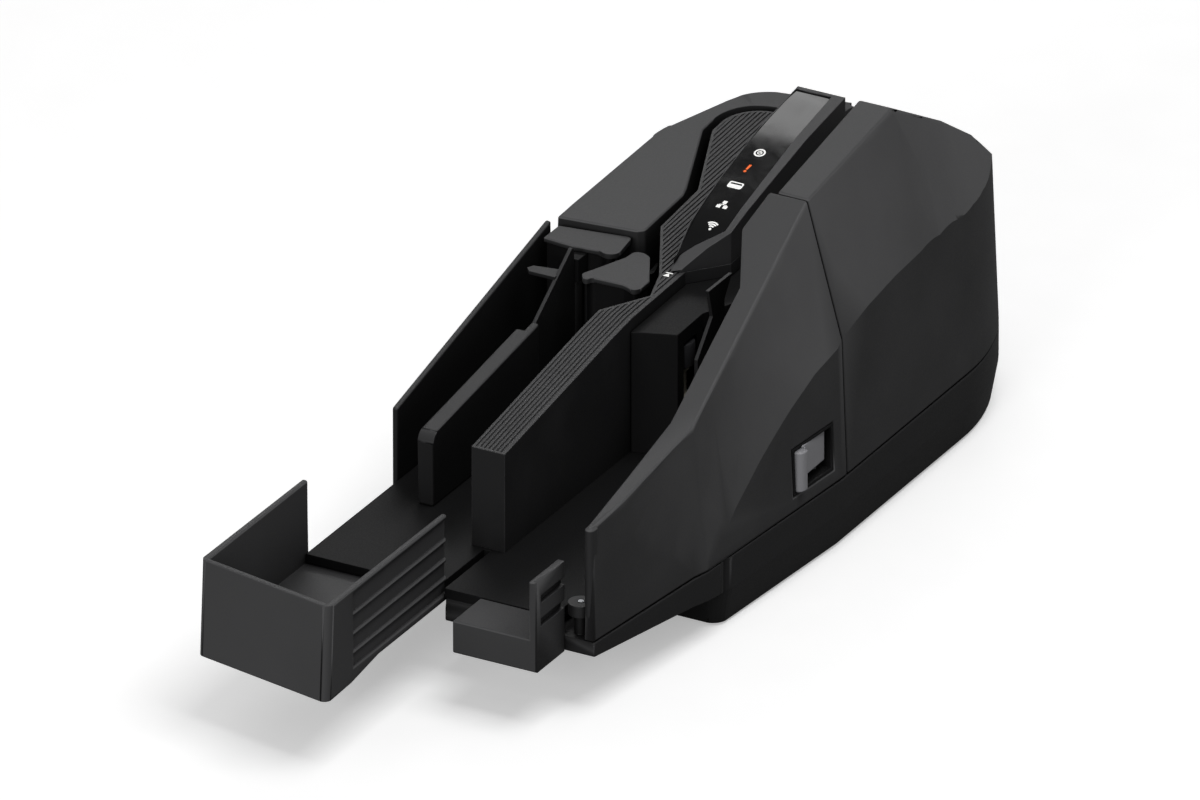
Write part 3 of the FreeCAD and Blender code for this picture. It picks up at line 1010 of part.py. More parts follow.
node("rear_cover", cut("RearCover", join("RearCoverJoined", [rearShell, rearBarrel] + rearLedges), [rearBore, rightPinchBore]))

# Return cover: left cover over the return path, swings about the pillar's other pin

returnRegion = [returnInner[0]] + [(c[0], c[1]) for c in returnInner[1:]]
returnRegion = returnRegion + [returnTurn, (s.pillarLow - s.seamGap, crossOuter), (s.pillarLow - s.seamGap, 1.06 * s.halfLength),
                               (-1.172 * s.halfWidth, 1.06 * s.halfLength), (-1.172 * s.halfWidth, 0.312 * s.halfLength)]
returnTop = islandTop[:-1] + side([(0.8273, 0.6522), (0.907, 0.647), (1.0, 0.611), (1.06, 0.59)])
returnRoof = underTop("ReturnRoof", 0, s.overrun, returnTop)
returnRoofInner = underTop("ReturnRoofInner", s.wallThick, s.overrun, returnTop)
returnOuter, returnInnerForm = coverShell("ReturnCover", returnRegion, returnRoof, returnRoofInner)
leftLow, leftHigh, leftBarrel, leftBore = hingeTools("ReturnHinge", returnHingeAt)
leftLedges = pinchLedges("ReturnCover", leftPinchAt, (leftPinchAt[0] - 1.2 * s.pinchRadius, leftPinchAt[1] - 1.2 * s.pinchRadius),
                         (leftAt[0] - s.driveRadius + s.nipStand - s.slotWidth - s.wallThick / 2 - leftPinchAt[0] + 1.2 * s.pinchRadius,
                          2.4 * s.pinchRadius))
returnShell = cut("ReturnShell", returnOuter, [returnInnerForm, deckTrim, leftLow, leftHigh,
                                               windowTool("LeftPinchRoom", leftPinchAt, s.pinchRadius)])
leftPinchBore = rod("LeftPinchBore", leftPinchAt, "seamLevel", "pinRadius + runGap", boreTall)
node("return_cover", cut("ReturnCover", join("ReturnCoverJoined", [returnShell, leftBarrel] + leftLedges), [leftBore, leftPinchBore]))

# Rear pillar: holds both rear hinge pins, the rear pinch roller and the sockets

pillarRegion = [(s.pillarLow, crossOuter), (s.pillarHigh, crossOuter), (s.pillarHigh, 1.06 * s.halfLength),
                (s.pillarLow, 1.06 * s.halfLength)]
pillarForm = meet("PillarForm", [prism("PillarRegion", "z", [pillarRegion], "seamLevel + seamGap", pillarTop + " - seamLevel - seamGap"), wallForm])
socketDeep = 0.05 * s.halfLength
pillarHollow = box("PillarHollow", [s.pillarLow + s.reliefRadius + 2 * s.fitGap, 0.9 * s.halfLength, "seamLevel"],
                   [s.pillarHigh - s.pillarLow - 2 * s.reliefRadius - 4 * s.fitGap, 0.06 * s.halfLength, pillarTop + " - seamLevel - 2 * wallThick"])
pillarReliefs = [rod("Relief%d" % i, at, "seamLevel", "reliefRadius", "bodyHeight")
                 for i, at in enumerate((rearHingeAt, returnHingeAt))]
deckSeat = prism("DeckSeat", "z", [deckOutline], "seamLevel - overrun", "floorLevel - seamLevel + overrun")
rearPinchRoom = windowTool("RearPinchRoom", rearPinchAt, s.pinchRadius)
rearPinchBore = rod("RearPinchBore", rearPinchAt, "seamLevel", "pinRadius + runGap", boreTall)
lugs = []
for i, (at, inwards) in enumerate(((rearHingeAt, -1), (returnHingeAt, 1))):
    for j, level in enumerate(("floorLevel + topClear", pillarTop + " - lugHeight")):
        eye = rod("LugEye%d%d" % (i, j), at, level, "barrelRadius", "lugHeight")
        armX = at[0] - s.reliefRadius - s.wallThick if inwards < 0 else at[0]
        arm = box("LugArm%d%d" % (i, j), [armX, at[1] - s.barrelRadius + 2 * s.fitGap, level],
                  [s.reliefRadius + s.wallThick, "2 * barrelRadius - 4 * fitGap", "lugHeight"])
        lugs += [eye, arm]
pinBores = [rod("PillarPinBore%d" % i, at, "seamLevel", "pinRadius", "bodyHeight")
            for i, at in enumerate((rearHingeAt, returnHingeAt))]
socketFace = 0.93 * s.halfLength
buttonAt = 0.069 * s.halfWidth
pillarHeight = s.bodyHeight - s.pillarDrop
buttonLevel = 0.869 * pillarHeight
socketRooms = []
socketSpecs = [("PowerInlet", 0.73, 0.124, 0.111), ("NetworkSocket", 0.582, 0.2, 0.1425),
               ("DataSocket", 0.452, 0.16, 0.104)]
pillarBody = cut("PillarBody", pillarForm, [pillarHollow, deckSeat, rearPinchRoom, rearPinchBore] + pillarReliefs)
sockets = []
openings = []
wallBack = 0.96 * s.halfLength
for name, levelShare, widthShare, tallShare in socketSpecs:
    width = widthShare * s.halfWidth
    tall = tallShare * pillarHeight
    level = levelShare * pillarHeight
    socketRooms.append(box(name + "Room", [buttonAt - width / 2, wallBack - s.wallThick, level],
                           [width, "overrun", tall]))
    frameBox = box(name + "Body", [buttonAt - width / 2, wallBack - s.wallThick, level],
                   [width, 0.02 * s.halfLength + s.wallThick, tall])
    mouth = box(name + "Mouth", [buttonAt - width / 2 + s.flapThick, wallBack, level + s.flapThick],
                [width - 2 * s.flapThick, "overrun", tall - 2 * s.flapThick])
    sockets.append(cut(name + "Socket", frameBox, [mouth]))
buttonHalf = 0.055 * s.halfWidth
buttonRoom = box("ButtonRoom", [buttonAt - buttonHalf - s.fitGap, wallBack - 2 * s.wallThick, buttonLevel - s.fitGap],
                 [2 * buttonHalf + 2 * s.fitGap, "overrun", 2 * buttonHalf + 2 * s.fitGap])
node("rear_pillar", cut("RearPillar", join("PillarJoined", [pillarBody] + lugs), pinBores + socketRooms + [buttonRoom]))
node("power_inlet", sockets[0])
node("data_sockets", group("DataSockets", sockets[1:]))
node("power_button", box("PowerButton", [buttonAt - buttonHalf, wallBack - s.wallThick + s.buttonTravel, buttonLevel],
                         [2 * buttonHalf, 0.03 * s.halfLength, 2 * buttonHalf]))
pinTall = pillarTop + " - floorLevel - topClear - wallThick"
node("hinge_pins", group("HingePins", [
    rod("RearPin", rearHingeAt, "floorLevel + topClear", "pinRadius", pinTall),
    rod("ReturnPin", returnHingeAt, "floorLevel + topClear", "pinRadius", pinTall),
    rod("FeedPin", feedHingeAt, "seamLevel", "pinRadius", "floorLevel - seamLevel + topClear + 2 * wallThick + fitGap")]))

# Sensors and boards

backBar = box("ScanBarBackBody", [slotX + s.fitGap, imageBarY, "floorLevel + 2 * wallThick + fitGap"],
              [imageBarDeep, imageBarLong, "shaftTop - floorLevel - 5 * wallThick - 2 * fitGap"])
node("scan_bar_back", backBar)
frontBar = box("ScanBarFrontBody", [guideX - s.fitGap - imageBarDeep, imageBarY, "floorLevel + wallThick + fitGap"],
               [imageBarDeep, imageBarLong, "shaftTop - floorLevel - 3 * wallThick - 2 * fitGap"])
node("scan_bar_front", frontBar)
node("scan_glass", box("ScanGlass", [guideX - s.fitGap, imageBarY, "floorLevel + wallThick + fitGap"],
                       ["2 * fitGap", imageBarLong, "shaftTop - floorLevel - 3 * wallThick - 2 * fitGap"]))
node("magnetic_head", box("MagneticHead", [slotX - s.nipStand, headY, "floorLevel + 2 * wallThick"],
                          ["4 * wallThick", "3 * wallThick", "5 * wallThick"]))
node("print_cartridge", box("PrintCartridge", [ridgeRightX + s.seamGap + s.panelThick + s.fitGap, 0.685 * s.halfLength, "floorLevel + wallThick"],
                            [0.24 * s.halfWidth, 0.075 * s.halfLength, "shaftTop - floorLevel - 3 * wallThick"]))
node("main_board", box("MainBoard", [-0.58 * s.halfWidth, 0.51 * s.halfLength, "footHeight + tubFloor + 2 * boardThick"],
                       [1.05 * s.halfWidth, 0.32 * s.halfLength, "boardThick"]))

# Write each piece

doc.recompute()
faults = [obj.Name + " " + " ".join(obj.State) for obj in doc.Objects if "Invalid" in obj.State or "Error" in obj.State]
for obj in nodes:
    if obj.Shape.isNull() or not obj.Shape.isValid() or not obj.Shape.Solids:
        faults.append(obj.Label + " has no valid solid")
if faults:
    raise RuntimeError("; ".join(faults))
for obj in nodes:
    obj.Shape.exportStep("parts/%s.step" % obj.Label)
whole = Part.makeCompound([obj.Shape for obj in nodes])
bounds = whole.BoundBox
print("nodes %d, box %.2f %.2f %.2f to %.2f %.2f %.2f" % (len(nodes), bounds.XMin, bounds.YMin, bounds.ZMin,
                                                       bounds.XMax, bounds.YMax, bounds.ZMax))
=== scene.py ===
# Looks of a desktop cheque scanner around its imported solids
import json
import math

import bmesh
import bpy
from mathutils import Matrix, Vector
from mathutils.bvhtree import BVHTree


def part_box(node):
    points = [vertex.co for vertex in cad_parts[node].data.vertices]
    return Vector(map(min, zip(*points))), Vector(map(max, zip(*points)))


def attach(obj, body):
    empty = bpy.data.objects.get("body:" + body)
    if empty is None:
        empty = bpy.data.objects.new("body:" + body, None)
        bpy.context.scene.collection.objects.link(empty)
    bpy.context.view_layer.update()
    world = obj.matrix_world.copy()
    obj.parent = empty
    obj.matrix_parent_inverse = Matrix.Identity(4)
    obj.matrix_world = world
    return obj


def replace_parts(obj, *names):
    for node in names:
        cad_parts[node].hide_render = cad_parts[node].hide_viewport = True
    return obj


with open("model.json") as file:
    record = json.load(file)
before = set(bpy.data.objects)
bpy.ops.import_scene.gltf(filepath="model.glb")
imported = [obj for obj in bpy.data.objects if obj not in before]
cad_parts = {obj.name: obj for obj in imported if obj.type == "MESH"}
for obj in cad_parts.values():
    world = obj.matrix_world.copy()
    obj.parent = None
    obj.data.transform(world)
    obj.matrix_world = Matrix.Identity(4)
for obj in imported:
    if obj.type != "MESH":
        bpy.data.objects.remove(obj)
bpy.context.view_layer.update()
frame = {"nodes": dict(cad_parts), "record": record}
nodes = frame["nodes"]
record = frame["record"]
bodyOf = {node: body for body, members in record["behaviour"]["bodies"].items() for node in members}
slotOf = {part["node"]: part["material_slot"] for part in record["subparts"]}
mm = 0.001


# Shared helpers

def hexColour(text):
    # an sRGB hex value as the linear colour that the shaders use
    parts = [int(text[i:i + 2], 16) / 255 for i in (0, 2, 4)]
    return tuple(c / 12.92 if c <= 0.04045 else ((c + 0.055) / 1.055) ** 2.4 for c in parts) + (1.0,)


def addNode(tree, kind, settings=None, links=None):
    # settings name an attribute or an input of the new node, links name the inputs that other outputs feed
    node = tree.nodes.new(kind)
    for name, value in (settings or {}).items():
        if isinstance(name, str) and hasattr(node, name):
            setattr(node, name, value)
        else:
            node.inputs[name].default_value = value
    for name, source in (links or {}).items():
        tree.links.new(source, node.inputs[name])
    return node


def newMaterial(name, **values):
    material = bpy.data.materials.new(name)
    material.use_nodes = True
    shader = material.node_tree.nodes["Principled BSDF"]
    for socket, value in values.items():
        shader.inputs[socket.replace("_", " ")].default_value = value
    return material, material.node_tree, shader


def blendColours(tree, first, second, factor):
    # each of the two is a hex value or the colour that another node gives
    mix = addNode(tree, "ShaderNodeMix", {"data_type": "RGBA"}, {0: factor})
    for socket, colour in ((6, first), (7, second)):
        if isinstance(colour, str):
            mix.inputs[socket].default_value = hexColour(colour)
        else:
            tree.links.new(colour, mix.inputs[socket])
    return mix.outputs[2]


def spread(tree, value, low, high, start=0.0, end=1.0):
    # a value that runs from low to high while the source runs from start to end
    ends = {"From Min": start, "From Max": end, "To Min": low, "To Max": high}
    return addNode(tree, "ShaderNodeMapRange", ends, {"Value": value}).outputs["Result"]


def rubbedEdges(tree, radius):
    # 1 along sharp outer edges and 0 on open faces, and the normal of a slightly rounded edge
    rounded = addNode(tree, "ShaderNodeBevel", {"samples": 4, "Radius": radius})
    surface = addNode(tree, "ShaderNodeNewGeometry")
    turn = addNode(tree, "ShaderNodeVectorMath", {"operation": "DOT_PRODUCT"},
                   {0: rounded.outputs["Normal"], 1: surface.outputs["Normal"]})
    return spread(tree, turn.outputs["Value"], 1.0, 0.0, 0.93, 0.998), rounded.outputs["Normal"]


# Materials, each named for what it is and how its surface was made

def mouldedAbs(name, look):
    # ABS out of a spark-eroded mould: an even fine grain breaks up the highlights, faces that lean back are
    # painted paler than upright ones and faces turned down darker, as painted light and shade, edges are
    # rubbed a little smoother and paler, and seams, corners and faces near other parts are painted dark as
    # shade
    material, tree, shader = newMaterial(name, IOR=1.5, Specular_IOR_Level=look["shine"])
    place = addNode(tree, "ShaderNodeTexCoord").outputs["Object"]
    # the real grain is about 0.2 mm wide, too fine to show, so it is drawn three times as coarse
    grain = addNode(tree, "ShaderNodeTexNoise", {"Scale": 1 / look["grain"], "Detail": 2.0, "Roughness": 0.6},
                    {"Vector": place})
    cloud = addNode(tree, "ShaderNodeTexNoise", {"Scale": 1 / look["cloud"], "Detail": 3.0},
                    {"Vector": place})
    worn, rounded = rubbedEdges(tree, look["edge"])
    spots = spread(tree, cloud.outputs["Fac"], 0.35, 1.0, 0.35, 0.6)
    patch = addNode(tree, "ShaderNodeMath", {"operation": "MULTIPLY"}, {0: worn, 1: spots}).outputs[0]
    surface = addNode(tree, "ShaderNodeNewGeometry")
    # painted light and shade: the tone follows how far each face turns up
    rise = addNode(tree, "ShaderNodeSeparateXYZ", links={"Vector": surface.outputs["Normal"]}).outputs["Z"]
    drift = addNode(tree, "ShaderNodeMath",
                    {"operation": "MULTIPLY_ADD", "use_clamp": True, 1: look["drift"]},
                    {0: spread(tree, cloud.outputs["Fac"], -0.5, 0.5, 0.3, 0.7),
                     2: spread(tree, rise, 0.0, 1.0, *look["leaningAt"])})
    tone = blendColours(tree, look["upright"], look["leaning"], drift.outputs[0])
    tone = blendColours(tree, tone, look["level"], spread(tree, rise, 0.0, 1.0, *look["levelAt"]))
    tone = blendColours(tree, tone, look["under"], spread(tree, rise, 1.0, 0.0, *look["underAt"]))
    tone = blendColours(tree, tone, look["worn"], spread(tree, patch, 0.0, look["wear"]))
    # painted shade: corners, seams and faces near other parts go towards black
    crevice = addNode(tree, "ShaderNodeAmbientOcclusion", {"samples": 6, "Distance": look["crevice"]})
    light = spread(tree, crevice.outputs["AO"], 0.0, 1.0, *look["openAt"])
    tone = blendColours(tree, look["cornerShade"], tone, light)
    tree.links.new(tone, shader.inputs["Base Color"])
    smooth, coarse = look["rough"] - look["uneven"], look["rough"] + look["uneven"]
    dull = spread(tree, grain.outputs["Fac"], smooth, coarse, 0.3, 0.7)
    rubbed = addNode(tree, "ShaderNodeMath", {"operation": "MULTIPLY_ADD", 1: -look["smoother"]},
                     {0: patch, 2: dull})
    tree.links.new(rubbed.outputs[0], shader.inputs["Roughness"])
    relief = addNode(tree, "ShaderNodeBump", {"Strength": look["relief"], "Distance": look["depth"]},
                     {"Height": grain.outputs["Fac"], "Normal": rounded})
    tree.links.new(relief.outputs["Normal"], shader.inputs["Normal"])
    return material


absLook = {
    "grain": 0.6 * mm,      # grain width as drawn
    "depth": 0.05 * mm,     # grain depth
    "relief": 0.35,
    "cloud": 38 * mm,       # size of the faint patches
    "drift": 0.16,          # how much they change the tone
    "edge": 0.5 * mm,       # how far wear reaches round an edge
    "wear": 0.6,
    "crevice": 16 * mm,     # how far from a corner its painted shade reaches
    "level": "454546",      # faces turned to the ceiling: a painted lit tone
    "leaning": "636364",    # faces that lean back by about 20 degrees: the palest, a painted sheen
    # upright faces: a darker painted tone
    "upright": "313132",
    "under": "242425",      # faces turned to the floor: painted shade
    "worn": "666668",
    # painted shade in corners and seams
    "cornerShade": "060606",
    # upward part of a face's direction between which its tone goes over to the next one
    "leaningAt": (0.0, 0.27),
    "levelAt": (0.4, 0.9),
    "underAt": (-0.16, -0.01),
    "openAt": (0.25, 0.75),     # how open a corner is from full painted shade to none
    "rough": 0.55,
    "uneven": 0.06,         # how much the grain changes that
    "smoother": 0.12,       # how much wear takes off it
    "shine": 0.4,
}
coverAbs = mouldedAbs("abs_spark_eroded_charcoal", absLook)
# the cover's plastic in darker tones: painted shade on the lower case
caseAbs = mouldedAbs("abs_spark_eroded_case_shaded", {
    **absLook, "level": "29292a", "leaning": "272728", "upright": "202021", "under": "19191a",
    "worn": "3e3e40"})
# darker upright faces and corner shade reaching further: painted shade on the panel's inner walls
islandAbs = mouldedAbs("abs_spark_eroded_ribbed", {
    **absLook, "level": "3e3e3f", "upright": "262627", "crevice": 30 * mm})
# the cover's plastic with paler upright faces, painted light on the trays' fronts, and corner shade reaching
# further, painted shade inside them
trayAbs = mouldedAbs("abs_spark_eroded_tray_lit_and_shaded", {**absLook, "upright": "4a4a4b", "crevice": 40 * mm})
# near-black plastic, with the same small painted light and shade by face direction and in corners
innerAbs = mouldedAbs("abs_polished_black", {
    **absLook, "level": "0e0e0f", "leaning": "101011", "upright": "0c0c0d", "under": "080809",
    "worn": "1e1e20", "rough": 0.6, "relief": 0.12, "shine": 0.25})
# much darker tones and far-reaching corner shade: painted shade inside the pockets
pocketAbs = mouldedAbs("abs_spark_eroded_pocket_shaded", {
    **absLook, "level": "39393a", "leaning": "2c2c2d", "upright": "1c1c1d", "worn": "4a4a4c",
    "crevice": 40 * mm})
# lever grey, its upright faces painted paler than its top as painted light, faces turned down and its corners
# painted dark as painted shade
leverAbs = mouldedAbs("abs_satin_grey", {
    **absLook, "level": "9c9ca0", "leaning": "aaaaae", "upright": "adadb1", "under": "505054",
    "worn": "b8b8bc", "cornerShade": "1c1c1e", "crevice": 3 * mm, "rough": 0.42, "relief": 0.2})


def polishedWindow():
    # dark tinted acrylic, polished: nearly black, mirror-like, with a breath of dust and wiping marks
    look = {"wipe": 9 * mm, "dark": "070708", "dust": "101011", "ripple": 0.05 * mm}
    material, tree, shader = newMaterial("acrylic_polished_black", IOR=1.49, Specular_IOR_Level=0.34)
    place = addNode(tree, "ShaderNodeTexCoord").outputs["Object"]
    wiped = addNode(tree, "ShaderNodeTexNoise", {"Scale": 1 / look["wipe"], "Detail": 4.0, "Distortion": 0.6},
                    {"Vector": place}).outputs["Fac"]
    tree.links.new(spread(tree, wiped, 0.06, 0.16, 0.35, 0.7), shader.inputs["Roughness"])
    tree.links.new(blendColours(tree, look["dark"], look["dust"], wiped), shader.inputs["Base Color"])
    ripple = addNode(tree, "ShaderNodeBump", {"Strength": 0.04, "Distance": look["ripple"]},
                     {"Height": wiped})
    tree.links.new(ripple.outputs["Normal"], shader.inputs["Normal"])
    return material


def printedInk(name, colour, shade, glow, grit=0.8 * mm):
    # screen-printed ink: matt, slightly uneven, with a faint painted glow as if a light guide lit it from
    # behind
    material, tree, shader = newMaterial(name, Roughness=0.6, Emission_Strength=glow,
                                         Emission_Color=hexColour(colour))
    place = addNode(tree, "ShaderNodeTexCoord").outputs["Object"]
    mottle = addNode(tree, "ShaderNodeTexNoise", {"Scale": 1 / grit, "Detail": 2.0}, {"Vector": place})
    tree.links.new(blendColours(tree, shade, colour, spread(tree, mottle.outputs["Fac"], 0.0, 1.0, 0.2, 0.5)),
                   shader.inputs["Base Color"])
    return material


def groundRubber(name, dark, pale, grit, depth=0.08 * mm):
    # rubber ground to size on a wheel: dull, with fine scratches round it and a dusty bloom
    material, tree, shader = newMaterial(name, IOR=1.52, Specular_IOR_Level=0.3)
    place = addNode(tree, "ShaderNodeTexCoord").outputs["Object"]
    stretch = addNode(tree, "ShaderNodeMapping", {"Scale": (1.0, 1.0, 6.0)}, {"Vector": place})
    grain = addNode(tree, "ShaderNodeTexNoise", {"Scale": 1 / grit, "Detail": 3.0},
                    {"Vector": stretch.outputs[0]}).outputs["Fac"]
    tree.links.new(blendColours(tree, dark, pale, spread(tree, grain, 0.0, 1.0, 0.35, 0.65)),
                   shader.inputs["Base Color"])
    tree.links.new(spread(tree, grain, 0.72, 0.92), shader.inputs["Roughness"])
    relief = addNode(tree, "ShaderNodeBump", {"Strength": 0.4, "Distance": depth}, {"Height": grain})
    tree.links.new(relief.outputs["Normal"], shader.inputs["Normal"])
    return material


steelLook = {
    "mark": 0.9 * mm,       # tool marks, stretched along one way
    "oil": 7 * mm,          # patches of oil
    "edge": 0.2 * mm,
    "depth": 0.03 * mm,
}


def turnedSteel(name, dark, pale, rough, scale):
    # steel turned or rolled: fine marks along one way stretch the highlights, with a trace of oil
    material, tree, shader = newMaterial(name, Metallic=1.0)
    place = addNode(tree, "ShaderNodeTexCoord").outputs["Object"]
    stretch = addNode(tree, "ShaderNodeMapping", {"Scale": scale}, {"Vector": place})
    marks = addNode(tree, "ShaderNodeTexNoise", {"Scale": 1 / steelLook["mark"], "Detail": 4.0},
                    {"Vector": stretch.outputs[0]}).outputs["Fac"]
    oil = addNode(tree, "ShaderNodeTexNoise", {"Scale": 1 / steelLook["oil"], "Detail": 2.0},
                  {"Vector": place}).outputs["Fac"]
    rounded = rubbedEdges(tree, steelLook["edge"])[1]
    tree.links.new(blendColours(tree, dark, pale, spread(tree, oil, 0.0, 1.0, 0.3, 0.7)),
                   shader.inputs["Base Color"])
    tree.links.new(spread(tree, marks, rough - 0.08, rough + 0.1), shader.inputs["Roughness"])
    relief = addNode(tree, "ShaderNodeBump", {"Strength": 0.15, "Distance": steelLook["depth"]},
                     {"Height": marks, "Normal": rounded})
    tree.links.new(relief.outputs["Normal"], shader.inputs["Normal"])
    return material


def solderMask():
    # glass-fibre board under green solder mask: copper tracks show as paler, slightly raised lines
    look = {"dark": "134a26", "track": "1f6a38", "pitch": 2.5 * mm, "height": 0.05 * mm}
    material, tree, shader = newMaterial("circuit_board_solder_mask", IOR=1.5, Roughness=0.35,
                                         Coat_Weight=0.3)
    place = addNode(tree, "ShaderNodeTexCoord").outputs["Object"]
    tracks = addNode(tree, "ShaderNodeTexVoronoi",
                     {"feature": "DISTANCE_TO_EDGE", "distance": "MANHATTAN", "Scale": 1 / look["pitch"]},
                     {"Vector": place})
    line = spread(tree, tracks.outputs["Distance"], 1.0, 0.0, 0.03, 0.09)
    tree.links.new(blendColours(tree, look["dark"], look["track"], line), shader.inputs["Base Color"])
    relief = addNode(tree, "ShaderNodeBump", {"Strength": 0.3, "Distance": look["height"]}, {"Height": line})
    tree.links.new(relief.outputs["Normal"], shader.inputs["Normal"])
    return material


def clearGlass():
    # polished glass strip over the sensors: clear, with lint and a faint grey cast that comes and goes with
    # it
    look = {"lint": 1.5 * mm, "cast": "cfdadb", "clear": "dfe6e6"}
    material, tree, shader = newMaterial("glass_float_polished", IOR=1.52, Transmission_Weight=0.85)
    place = addNode(tree, "ShaderNodeTexCoord").outputs["Object"]
    lint = addNode(tree, "ShaderNodeTexNoise", {"Scale": 1 / look["lint"], "Detail": 5.0},
                   {"Vector": place}).outputs["Fac"]
    tree.links.new(spread(tree, lint, 0.02, 0.12, 0.5, 0.75), shader.inputs["Roughness"])
    tree.links.new(blendColours(tree, look["cast"], look["clear"], lint), shader.inputs["Base Color"])
    return material


windowAcrylic = polishedWindow()
# both inks glow a little: painted light
whiteInk = printedInk("ink_printed_white", "f4f4f2", "dcdcda", 0.35)
orangeInk = printedInk("ink_printed_orange", "e8641e", "d2540f", 0.5)
rollerRubber = groundRubber("rubber_ground_black", "202022", "2c2c2f", 0.5 * mm)
beltRubber = groundRubber("rubber_moulded_belt", "161617", "1f1f21", 0.7 * mm)
footRubber = groundRubber("rubber_moulded_foot", "131314", "1a1a1b", 0.9 * mm)
shaftSteel = turnedSteel("steel_turned", "9a9c9f", "b4b6b9", 0.28, (1.0, 1.0, 9.0))
zincCan = turnedSteel("zinc_plated_can", "8d8f90", "a9aaa8", 0.38, (1.0, 1.0, 0.3))
tinnedShell = turnedSteel("steel_tinned_pressed", "a5a7a9", "c2c4c6", 0.24, (4.0, 1.0, 1.0))
# natural acetal, with the same painted light and shade by face direction and in corners
acetal = mouldedAbs("acetal_moulded_natural", {
    **absLook, "level": "d6d2c6", "leaning": "dcd8cc", "upright": "d0ccbf", "under": "bab6aa",
    "worn": "e8e5db", "cornerShade": "6d685c", "rough": 0.4, "relief": 0.1})
boardMask = solderMask()
stripGlass = clearGlass()
materialOf = {
    "cover_black": coverAbs, "case_black": caseAbs, "inner_black": innerAbs, "gloss_black": windowAcrylic,
    "lens_white": whiteInk, "lever_grey": leverAbs, "roller_rubber": rollerRubber, "belt_rubber": beltRubber,
    "rubber_black": footRubber, "bush_plastic": acetal, "steel": shaftSteel, "motor_zinc": zincCan,
    "socket_metal": tinnedShell, "board_green": boardMask, "scan_glass": stripGlass,
}
paintOf = {name: materialOf[slotOf[name]] for name in nodes}
# the pocket walls and paddle take the painted shade of the pockets, the trays their painted light and shade
pocketPieces = ("pocket_divider", "pocket_side_wall", "pocket_flap", "hopper_paddle")
paintOf.update(dict.fromkeys(pocketPieces, pocketAbs))
paintOf.update(dict.fromkeys(("pocket_tray", "hopper_tray"), trayAbs))
paintOf["island_cover"] = islandAbs
for name, node in nodes.items():
    node.data.materials.clear()
    node.data.materials.append(paintOf[name])
print("materials made")


# Pieces moulded after a solid: the same shape with real rounded edges

def newPiece(name, mesh, material, body):
    piece = bpy.data.objects.new(name, mesh)
    bpy.context.scene.collection.objects.link(piece)
    mesh.materials.clear()
    mesh.materials.append(material)
    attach(piece, body)
    return piece


def meshFrom(form, name):
    mesh = bpy.data.meshes.new(name)
    form.to_mesh(mesh)
    form.free()
    return mesh


def smoothShade(form, limit):
    # smooth faces, crisp along edges that turn more than this many degrees
    for face in form.faces:
        face.smooth = True
    for line in form.edges:
        line.smooth = line.calc_face_angle(0) < math.radians(limit)


def evenShading(piece):
    # large faces keep their own direction and only the rounds between them turn the light
    settle = piece.modifiers.new("even_shading", "WEIGHTED_NORMAL")
    settle.keep_sharp = True
    settle.weight = 100     # the strongest pull towards the large faces
    graph = bpy.context.evaluated_depsgraph_get()
    shaded = bpy.data.meshes.new_from_object(piece.evaluated_get(graph), depsgraph=graph)
    piece.modifiers.remove(settle)
    old, name = piece.data, piece.data.name
    piece.data = shaded
    bpy.data.meshes.remove(old)
    shaded.name = name


# the hinge axes in plan, and how far round them the lugs keep their plain edges
hingeSpots = {"places": ((-12.3, 210.3), (22.3, 214.5), (47.5, -122.7)), "reach": 8 * mm}


def nearHinge(line):
    middle = (line.verts[0].co + line.verts[1].co) / 2
    ends = [middle, line.verts[0].co, line.verts[1].co]
    return any(math.hypot(end.x - x * mm, end.y - y * mm) < hingeSpots["reach"]
               for x, y in hingeSpots["places"] for end in ends)


rounding = {
    "weld": 0.002 * mm,     # corners closer than this are one
    "flat": 0.8,            # stretches that turn less than this many degrees are merged
    "crease": 7,            # edges that turn more stay crisp
    "sharper": 26,          # outer edges that turn more are rounded
    "shortest": 2.2,        # in radii: shorter edges stay as they are
    "segments": 3,
    "furthest": 1.2,        # in radii: corners that move further go back to the surface
    "proud": 0.02 * mm,     # and so do those that stand out by more than this
    "sliver": 0.004 * mm,
}


def roundedCopy(name, edge):
    # flat stretches are merged, every long outer edge that is sharp enough is rounded to this radius,
    # and inner corners and shallower creases between facets stay crisp
    form = bmesh.new()
    form.from_mesh(nodes[name].data)
    bmesh.ops.remove_doubles(form, verts=form.verts, dist=rounding["weld"])
    bmesh.ops.dissolve_limit(form, angle_limit=math.radians(rounding["flat"]), verts=form.verts,
                             edges=form.edges)
    form.normal_update()
    chosen = []
    for line in form.edges:
        turn = math.degrees(line.calc_face_angle(0)) if len(line.link_faces) == 2 else 180
        line.smooth = turn < rounding["crease"]
        lasting = line.calc_length() > rounding["shortest"] * edge
        if rounding["sharper"] < turn < 180 and line.is_convex and lasting and not nearHinge(line):
            line.smooth = True
            chosen.append(line)
    for face in form.faces:
        face.smooth = True
    bmesh.ops.bevel(form, geom=chosen, offset=edge, offset_type="OFFSET", segments=rounding["segments"],
                    profile=0.5, affect="EDGES", clamp_overlap=False)
    bmesh.ops.triangulate(form, faces=[f for f in form.faces if len(f.verts) > 4], quad_method="BEAUTY",
                          ngon_method="BEAUTY")
    # a corner that the rounding threw out of the solid, or too deep into it, goes back to its surface
    solid = nodes[name].data
    skin = BVHTree.FromPolygons([v.co for v in solid.vertices], [tuple(f.vertices) for f in solid.polygons])
    for vert in form.verts:
        spot, normal, face, gap = skin.find_nearest(vert.co)
        if gap > rounding["furthest"] * edge or (vert.co - spot).dot(normal) > rounding["proud"]:
            vert.co = spot
    bmesh.ops.dissolve_degenerate(form, edges=form.edges, dist=rounding["sliver"])
    mesh = meshFrom(form, name + "_moulding")
    mesh.validate()
    piece = newPiece(name + "_moulding", mesh, paintOf[name], bodyOf[name])
    evenShading(piece)
    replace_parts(piece, name)


